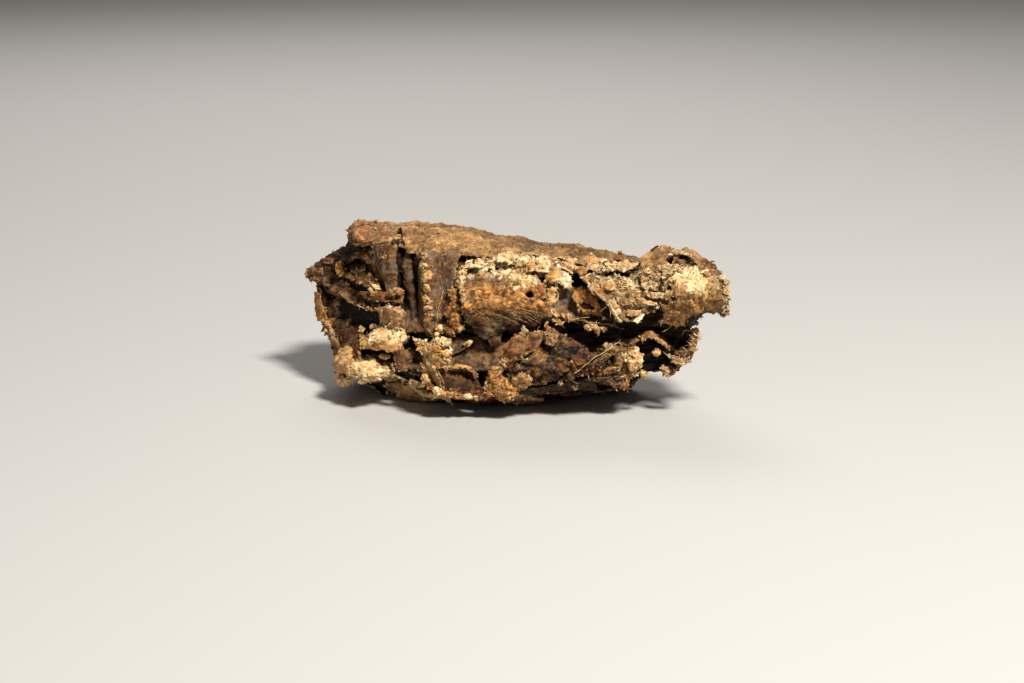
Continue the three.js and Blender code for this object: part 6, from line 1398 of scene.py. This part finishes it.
# -------------------------------------------------------------------- crumbs
BRIGHT = ("cream", "cream", "sand", "sand", "tan")
WARM = ("sand", "tan", "gold", "gold", "bark")
EARTH = ("tan", "bark", "gold", "rust", "brown")
for name, n, size, where, colours in [
        ("slab", 150, (0.05, 0.2), "crust", WARM), ("slab", 160, (0.05, 0.15), "edge", EARTH), ("lobe", 110, (0.05, 0.18), "crust", WARM),
        ("corner", 60, (0.07, 0.2), "crust", WARM), ("shoulder", 50, (0.05, 0.16), "edge", WARM), ("page_upper", 50, (0.05, 0.18), "edge", WARM),
        ("page_long", 110, (0.05, 0.2), "edge", WARM), ("page_brown", 40, (0.05, 0.16), "edge", WARM), ("block_a", 40, (0.06, 0.18), "crust", BRIGHT),
        ("block_c", 60, (0.06, 0.2), "crust", WARM), ("bar", 20, (0.05, 0.14), "crust", WARM),
        ("wall", 260, (0.05, 0.2), "crust", WARM), ("foot", 420, (0.05, 0.2), "crust", BRIGHT), ("foot_top", 160, (0.05, 0.18), "crust", WARM), ("foot_toe", 90, (0.05, 0.18), "crust", BRIGHT),
        ("dome", 260, (0.05, 0.18), "crust", BRIGHT), ("mouth_lip", 120, (0.05, 0.15), "edge", WARM), ("wedge", 90, (0.05, 0.17), "edge", BRIGHT),
        ("side_flake", 50, (0.05, 0.14), "edge", WARM), ("curtain", 260, (0.05, 0.2), "crust", WARM), ("curtain", 120, (0.04, 0.12), "edge", EARTH),
        ("curl", 950, (0.05, 0.2), "crust", BRIGHT), ("curl", 260, (0.04, 0.14), "edge", WARM), ("curl_horn", 40, (0.05, 0.14), "edge", BRIGHT),
        ("gold_column", 110, (0.06, 0.2), "crust", WARM), ("gold_upper", 90, (0.06, 0.2), "crust", WARM), ("gold_mid", 60, (0.06, 0.18), "crust", WARM),
        ("crumb_flake", 200, (0.05, 0.18), "edge", BRIGHT), ("bowl", 200, (0.05, 0.18), "crust", WARM), ("bowl_lip", 40, (0.05, 0.14), "edge", WARM), ("ridge", 110, (0.05, 0.16), "edge", WARM),
        ("low_a", 80, (0.05, 0.16), "edge", WARM), ("low_b", 40, (0.05, 0.14), "edge", WARM), ("low_bar", 24, (0.05, 0.13), "crust", BRIGHT),
        ("cluster", 420, (0.06, 0.2), "crust", ("sand", "sand", "gold", "gold", "tan")), ("cluster_left", 120, (0.05, 0.2), "crust", WARM), ("cluster_right", 130, (0.05, 0.2), "crust", WARM), ("cluster_tip", 50, (0.05, 0.16), "crust", BRIGHT),
        ("lower_sheet", 200, (0.04, 0.15), "edge", WARM), ("lower_fold", 110, (0.04, 0.15), "edge", WARM), ("rim_lobe", 60, (0.05, 0.15), "edge", ("gold", "sand", "tan")), ("belly", 60, (0.06, 0.16), "edge", EARTH),
        ("saddle", 260, (0.05, 0.17), "edge", BRIGHT), ("saddle", 300, (0.05, 0.2), "crust", BRIGHT), ("saddle_back", 90, (0.05, 0.17), "edge", WARM), ("orange", 90, (0.04, 0.14), "edge", ("gold", "sand", "rust")),
        ("top_a", 260, (0.05, 0.2), "crust", BRIGHT), ("top_a", 120, (0.05, 0.16), "edge", BRIGHT), ("top_b", 140, (0.05, 0.17), "edge", WARM), ("twig", 40, (0.04, 0.12), "edge", WARM),
        ("barrel", 430, (0.05, 0.15), "crust", ("cream", "sand", "sand", "tan", "tan")), ("barrel", 160, (0.04, 0.15), "edge", BRIGHT), ("knob_crown", 180, (0.05, 0.18), "edge", WARM),
        ("knob_ridge", 180, (0.05, 0.18), "edge", BRIGHT), ("knob_recess", 90, (0.05, 0.16), "edge", WARM), ("knob_patch", 200, (0.05, 0.18), "crust", BRIGHT),
        ("knob", 300, (0.05, 0.2), "crust", WARM), ("knob_fringe", 150, (0.05, 0.18), "edge", WARM), ("arc", 60, (0.05, 0.15), "edge", WARM),
        ("upright", 40, (0.04, 0.12), "edge", WARM), ("cup0", 40, (0.04, 0.13), "edge", BRIGHT), ("cup2", 50, (0.04, 0.14), "edge", BRIGHT), ("cup_bit", 50, (0.05, 0.16), "crust", BRIGHT), ("bead", 30, (0.05, 0.13), "crust", BRIGHT),
        ("side_cluster", 200, (0.05, 0.22), "crust", BRIGHT), ("side_tail", 40, (0.05, 0.14), "crust", WARM), ("low_right", 150, (0.05, 0.18), "edge", WARM), ("low_end", 50, (0.04, 0.14), "edge", WARM)]:
    scatter("crumbs_fine", made[name], n, size, rng, where, 1.0, colours)
for name, n in [("cluster", 40), ("side_cluster", 16), ("foot", 24), ("dome", 14), ("curl", 50), ("gold_column", 10), ("barrel", 40)]:
    scatter("crumbs_coarse", made[name], n, (0.14, 0.3), rng, "crust", 1.0, ("cream", "sand", "tan", "gold"), level=1)
body = made["body"]
spare = {**body, "edge": np.clip(body["edge"] + 0.15, 0, 1) * body["behind"] * (body["P"][:, 2] > 0.5)}
scatter("crumbs_fine", spare, 1500, (0.07, 0.26), rng, "edge", 1.0, WARM)
for k, b in enumerate(backs):
    scatter("crumbs_fine", b, 42, (0.06, 0.22), rng, "edge", 1.0, BRIGHT if k % 2 else WARM)


# -------------------------------------------------------------------- fibres
def whiskers(s, n, long, colour, seed, where="edge"):
    r = np.random.default_rng(seed)
    w = np.clip(s[where], 0, 1) ** 2 + 1e-6
    pick = r.choice(len(w), size=n, p=w / w.sum())
    start = s["P"][pick] - s["N"][pick] * 0.05
    way = s["N"][pick] * r.uniform(0.15, 0.8, (n, 1)) + r.normal(size=(n, 3)) * 0.75
    way /= np.linalg.norm(way, axis=1, keepdims=True)
    length = r.uniform(long[0], long[1], n)
    names = r.integers(0, len(colour), n)
    fibres("fibres", start, start + way * length[:, None], length * 0.14, r.uniform(0.018, 0.045, n), np.array([COL[c] for c in colour])[names], r)


for name, n, long in [("curl", 46, (0.4, 1.3)), ("curl_horn", 10, (0.3, 0.8)), ("saddle", 34, (0.3, 1.1)), ("knob_fringe", 30, (0.4, 1.2)), ("upright", 26, (0.4, 1.3)),
                      ("cup0", 10, (0.3, 0.8)), ("cup1", 10, (0.3, 0.9)), ("cup2", 8, (0.3, 0.8)), ("low_right", 18, (0.3, 0.9)), ("lower_sheet", 30, (0.3, 1.0)), ("bowl", 16, (0.3, 0.8)), ("low_a", 22, (0.2, 0.6)),
                      ("low_b", 14, (0.3, 1.0)), ("page_long", 18, (0.3, 0.9)), ("page_upper", 10, (0.3, 0.8)), ("side_flake", 8, (0.2, 0.7)), ("wedge", 14, (0.3, 0.9)),
                      ("cluster", 26, (0.3, 0.8)), ("twig", 16, (0.3, 1.0)), ("barrel", 40, (0.2, 0.6)), ("wall", 16, (0.3, 0.9)), ("slab", 14, (0.2, 0.5)), ("arc", 10, (0.3, 0.8))]:
    whiskers(made[name], n, long, ("sand", "tan", "bark", "cream"), 700 + n)


def strand(points, r, colour, seed):
    """One strand through pixel points."""
    q = np.random.default_rng(seed)
    L = np.array([W(*p) for p in points])
    for a, b in zip(L[:-1], L[1:]):
        fibres("fibres", a[None], b[None], np.array([0.05]), np.array([r]), COL[colour][None], q, steps=5)


for L, r, colour, seed in WAVES:
    q = np.random.default_rng(seed)
    for a, b in zip(L[:-1], L[1:]):
        fibres("fibres", a[None], b[None], np.array([0.03]), np.array([r]), COL[colour][None] * 0.8, q, steps=4)
strand([(573, 374, -9.75), (581, 369, -9.85), (590, 362, -9.95), (599, 355, -9.95), (607, 350, -9.85), (613, 345, -9.7), (619, 342, -9.5)], 0.07, "sand", 10)
strand([(672, 325, -7.6), (668, 329, -8.0), (662, 332, -8.2)], 0.05, "tan", 1)
strand([(629, 349, -8.2), (634, 344, -8.3), (640, 340, -8.2)], 0.09, "bark", 2)
strand([(682, 347, -7.2), (686, 350, -7.8), (690, 353, -8.3)], 0.06, "tan", 3)
strand([(592, 380, -8.9), (602, 378, -9.1), (612, 376, -9.0)], 0.04, "tan", 4)
strand([(553, 325, -6.8), (566, 321, -7.0), (580, 318, -7.0), (590, 317, -6.9)], 0.07, "tan", 5)
strand([(663, 352, -7.8), (671, 356, -8.2), (680, 358, -8.4)], 0.05, "sand", 6)
strand([(696, 341, -8.3), (701, 334, -8.2), (699, 327, -7.8)], 0.07, "sand", 7)
strand([(401, 340, -5.0), (406, 352, -5.5), (411, 362, -6.2)], 0.06, "tan", 8)
strand([(430, 352, -7.8), (436, 366, -9.0), (443, 380, -9.4), (447, 393, -9.0)], 0.08, "tan", 9)

# ----------------------------------------------------------------- openness, for painted shade in enclosed places
for b in BAGS.values():
    b.pack()

CELL = 0.35
low_corner = np.array([-24.0, -14.0, -2.5])
dims = np.array([140, 82, 60])
full = np.zeros(dims, np.float32)


def cells_of(P):
    return np.clip(((P - low_corner) / CELL).astype(int), 0, dims - 1)


for b in BAGS.values():
    i = cells_of(b.P)
    full[i[:, 0], i[:, 1], i[:, 2]] = 1
i = cells_of(BAGS["nugget_body"].P)
only = np.zeros(dims, bool)
only[i[:, 0], i[:, 1], i[:, 2]] = True


def filled(a, axis):
    ahead_ = np.maximum.accumulate(a, axis)
    behind_ = np.flip(np.maximum.accumulate(np.flip(a, axis), axis), axis)
    return ahead_ & behind_


only = filled(only, 2) & filled(only, 1)
full = np.maximum(full, only)
full[:, :, :int(-low_corner[2] / CELL)] = 0.6


def box_blur(a, k):
    for axis in range(3):
        c = np.cumsum(np.pad(a, [(k + 1, k) if x == axis else (0, 0) for x in range(3)], mode="edge"), axis)
        n = a.shape[axis]
        hi = np.take(c, np.arange(2 * k + 1, 2 * k + 1 + n), axis)
        lo_ = np.take(c, np.arange(0, n), axis)
        a = (hi - lo_) / (2 * k + 1)
    return a


wide = box_blur(box_blur(full, 3), 2)
tight = box_blur(box_blur(full, 1), 1)


def sample(a, P):
    q = (P - low_corner) / CELL - 0.5
    i = np.clip(np.floor(q).astype(int), 0, dims - 2)
    f = np.clip(q - i, 0, 1)
    out = 0
    for k in range(8):
        d = np.array([k & 1, (k >> 1) & 1, (k >> 2) & 1])
        j = i + d
        out = out + a[j[:, 0], j[:, 1], j[:, 2]] * np.prod(np.where(d == 1, f, 1 - f), axis=1)
    return out


# how open each point is; enclosed points get painted shade in the material
def openness(b):
    far = sample(wide, b.P + b.N * 1.3)
    near = sample(tight, b.P + b.N * 0.65)
    return np.clip(smooth(0.72, 0.30, far) * 0.65 + smooth(0.85, 0.25, near) * 0.35, 0, 1)


OPEN = {name: openness(b) for name, b in BAGS.items()}


# ---------------------------------------------------------------- the material
def skin(name, grain_scale=1.0):
    m = bpy.data.materials.new(name)
    m.use_nodes = True
    t = m.node_tree
    n, l = t.nodes, t.links
    n.clear()
    out = n.new("ShaderNodeOutputMaterial")
    bsdf = n.new("ShaderNodeBsdfPrincipled")
    l.new(bsdf.outputs[0], out.inputs[0])
    bsdf.inputs["Metallic"].default_value = 0.0
    bsdf.inputs["Specular IOR Level"].default_value = 0.26
    co = n.new("ShaderNodeTexCoord")

    def attr(k):
        a = n.new("ShaderNodeAttribute")
        a.attribute_type = "GEOMETRY"
        a.attribute_name = k
        return a

    def noise(vec, scale, detail, rough=0.6):
        a = n.new("ShaderNodeTexNoise")
        a.inputs["Scale"].default_value = scale
        a.inputs["Detail"].default_value = detail
        a.inputs["Roughness"].default_value = rough
        l.new(vec, a.inputs["Vector"])
        return a.outputs["Fac"]

    def ramp(x, a, b, lo, hi):
        r = n.new("ShaderNodeMapRange")
        r.inputs["From Min"].default_value = a
        r.inputs["From Max"].default_value = b
        r.inputs["To Min"].default_value = lo
        r.inputs["To Max"].default_value = hi
        l.new(x, r.inputs["Value"])
        return r.outputs["Result"]

    def op(kind, a, b):
        r = n.new("ShaderNodeMath")
        r.operation = kind
        for k, x in enumerate((a, b)):
            if isinstance(x, (int, float)):
                r.inputs[k].default_value = x
            else:
                l.new(x, r.inputs[k])
        return r.outputs[0]

    tint, edge, fibre, open_, flow = (attr(k) for k in ("tint", "edge", "fibre", "open", "flow"))
    fine = noise(co.outputs["Object"], 2600 * grain_scale, 5, 0.68)
    finer = noise(co.outputs["Object"], 8200 * grain_scale, 4, 0.65)
    patch = noise(co.outputs["Object"], 620, 4, 0.6)
    along_ = n.new("ShaderNodeMapping")
    along_.inputs["Scale"].default_value = (0.9, 9.0, 1.0)
    l.new(flow.outputs["Vector"], along_.inputs["Vector"])
    streak = noise(along_.outputs["Vector"], 1.0, 5, 0.62)
    # colour: the tint, mottled, streaked where it is fibrous, with painted shade where it is enclosed
    mott = op("MULTIPLY", ramp(fine, 0.28, 0.72, 0.62, 1.38), ramp(finer, 0.3, 0.7, 0.82, 1.18))
    mott = op("MULTIPLY", mott, ramp(patch, 0.3, 0.7, 0.86, 1.14))
    lines = op("ADD", 1.0, op("MULTIPLY", fibre.outputs["Fac"], ramp(streak, 0.3, 0.7, -0.38, 0.38)))
    mott = op("MULTIPLY", mott, lines)
    shade = n.new("ShaderNodeMapRange")
    shade.interpolation_type = "SMOOTHSTEP"
    shade.inputs["From Min"].default_value = 0.0
    shade.inputs["From Max"].default_value = 0.80
    shade.inputs["To Min"].default_value = 0.05
    shade.inputs["To Max"].default_value = 1.0
    l.new(open_.outputs["Fac"], shade.inputs["Value"])
    mott = op("MULTIPLY", mott, shade.outputs["Result"])
    scale = n.new("ShaderNodeVectorMath")
    scale.operation = "SCALE"
    l.new(tint.outputs["Vector"], scale.inputs[0])
    l.new(mott, scale.inputs["Scale"])
    # pale specks and dark specks
    vor = n.new("ShaderNodeTexVoronoi")
    vor.inputs["Scale"].default_value = 6500
    l.new(co.outputs["Object"], vor.inputs["Vector"])
    sep = n.new("ShaderNodeSeparateColor")
    l.new(vor.outputs["Color"], sep.inputs[0])
    pale = op("MULTIPLY", ramp(sep.outputs[0], 0.93, 0.97, 0.0, 1.0), ramp(vor.outputs["Distance"], 0.12, 0.4, 1.0, 0.0))
    pale = op("MULTIPLY", pale, ramp(open_.outputs["Fac"], 0.3, 0.8, 0.0, 0.55))
    mix = n.new("ShaderNodeMix")
    mix.data_type = "RGBA"
    l.new(pale, mix.inputs["Factor"])
    l.new(scale.outputs["Vector"], mix.inputs[6])
    mix.inputs[7].default_value = (*srgb(232, 186, 118), 1)
    deep = op("MULTIPLY", ramp(sep.outputs[1], 0.86, 0.92, 0.0, 1.0), ramp(vor.outputs["Distance"], 0.2, 0.4, 1.0, 0.0))
    mix2 = n.new("ShaderNodeMix")
    mix2.data_type = "RGBA"
    l.new(op("MULTIPLY", deep, 0.7), mix2.inputs["Factor"])
    l.new(mix.outputs[2], mix2.inputs[6])
    mix2.inputs[7].default_value = (*srgb(58, 34, 18), 1)
    l.new(mix2.outputs[2], bsdf.inputs["Base Color"])
    # gloss: dull, with a few glints
    glint = op("MULTIPLY", ramp(sep.outputs[2], 0.965, 0.975, 0.0, 1.0), ramp(vor.outputs["Distance"], 0.3, 0.4, 1.0, 0.0))
    rough = op("SUBTRACT", ramp(fine, 0.3, 0.7, 0.9, 0.62), op("MULTIPLY", glint, 0.42))
    l.new(rough, bsdf.inputs["Roughness"])
    # relief
    bump1 = n.new("ShaderNodeBump")
    bump1.inputs["Strength"].default_value = 0.8
    bump1.inputs["Distance"].default_value = 0.00009
    l.new(fine, bump1.inputs["Height"])
    bump2 = n.new("ShaderNodeBump")
    bump2.inputs["Strength"].default_value = 0.7
    bump2.inputs["Distance"].default_value = 0.00004
    l.new(finer, bump2.inputs["Height"])
    l.new(bump1.outputs[0], bump2.inputs["Normal"])
    bump3 = n.new("ShaderNodeBump")
    bump3.inputs["Strength"].default_value = 0.8
    bump3.inputs["Distance"].default_value = 0.00008
    l.new(op("MULTIPLY", fibre.outputs["Fac"], streak), bump3.inputs["Height"])
    l.new(bump2.outputs[0], bump3.inputs["Normal"])
    l.new(bump3.outputs[0], bsdf.inputs["Normal"])
    return m


SKIN = skin("layered_skin")
GRAINS = skin("crumb_skin", 1.25)

pieces = {}
for name, b in BAGS.items():
    pieces[name] = build(b, OPEN[name], GRAINS if name.startswith("crumbs") else SKIN, not name.startswith("crumbs"))
total = sum(len(b.Q) * 2 + len(b.T) for b in BAGS.values())
for name, b in BAGS.items():
    print("piece", name, len(b.Q) * 2 + len(b.T))
print("triangles in all", total)

for o in pieces.values():
    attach(o, "root")
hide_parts("nugget")

# --------------------------------------------------------- floor, light, view
bpy.ops.mesh.primitive_plane_add(size=3.0, location=(0, 0, -0.00005))
floor = bpy.context.object
floor.name = "floor"
fm = bpy.data.materials.new("floor_pale")
fm.use_nodes = True
fb = fm.node_tree.nodes["Principled BSDF"]
fb.inputs["Base Color"].default_value = (0.52, 0.515, 0.51, 1)
fb.inputs["Roughness"].default_value = 0.75
fb.inputs["Specular IOR Level"].default_value = 0.2
floor.data.materials.append(fm)


def lamp(name, place, aim, size, watts, colour):
    d = bpy.data.lights.new(name, "AREA")
    d.shape = "RECTANGLE"
    d.size, d.size_y = size
    d.energy = watts
    d.color = colour
    o = bpy.data.objects.new(name, d)
    bpy.context.scene.collection.objects.link(o)
    o.location = Vector(place) * MM
    way = Vector(aim) * MM - o.location
    o.rotation_euler = way.to_track_quat("-Z", "Y").to_euler()
    return o


lamp("key", (110, -160, 280), (0, -3, 6), (0.06, 0.05), 1.75, (1.0, 0.95, 0.87))
lamp("fill", (-240, -200, 90), (0, 0, 6), (0.22, 0.2), 0.08, (1.0, 0.95, 0.9))
lamp("rim", (-40, 240, 200), (0, 0, 8), (0.2, 0.12), 0.35, (1.0, 0.95, 0.88))
world = bpy.data.worlds.new("studio")
world.use_nodes = True
world.node_tree.nodes["Background"].inputs[0].default_value = (0.80, 0.80, 0.82, 1)
world.node_tree.nodes["Background"].inputs[1].default_value = 0.075
bpy.context.scene.world = world
bpy.context.scene.view_settings.view_transform = "Standard"

cam = bpy.data.cameras.new("view")
cam.lens, cam.sensor_width = LENS, SENSOR
cam.clip_start, cam.clip_end = 0.005, 10
eye = bpy.data.objects.new("view", cam)
bpy.context.scene.collection.objects.link(eye)
eye.location = Vector((EYE + SHIFT) * MM)
eye.rotation_euler = (math.radians(90 - 15), 0, 0)
bpy.context.scene.camera = eye
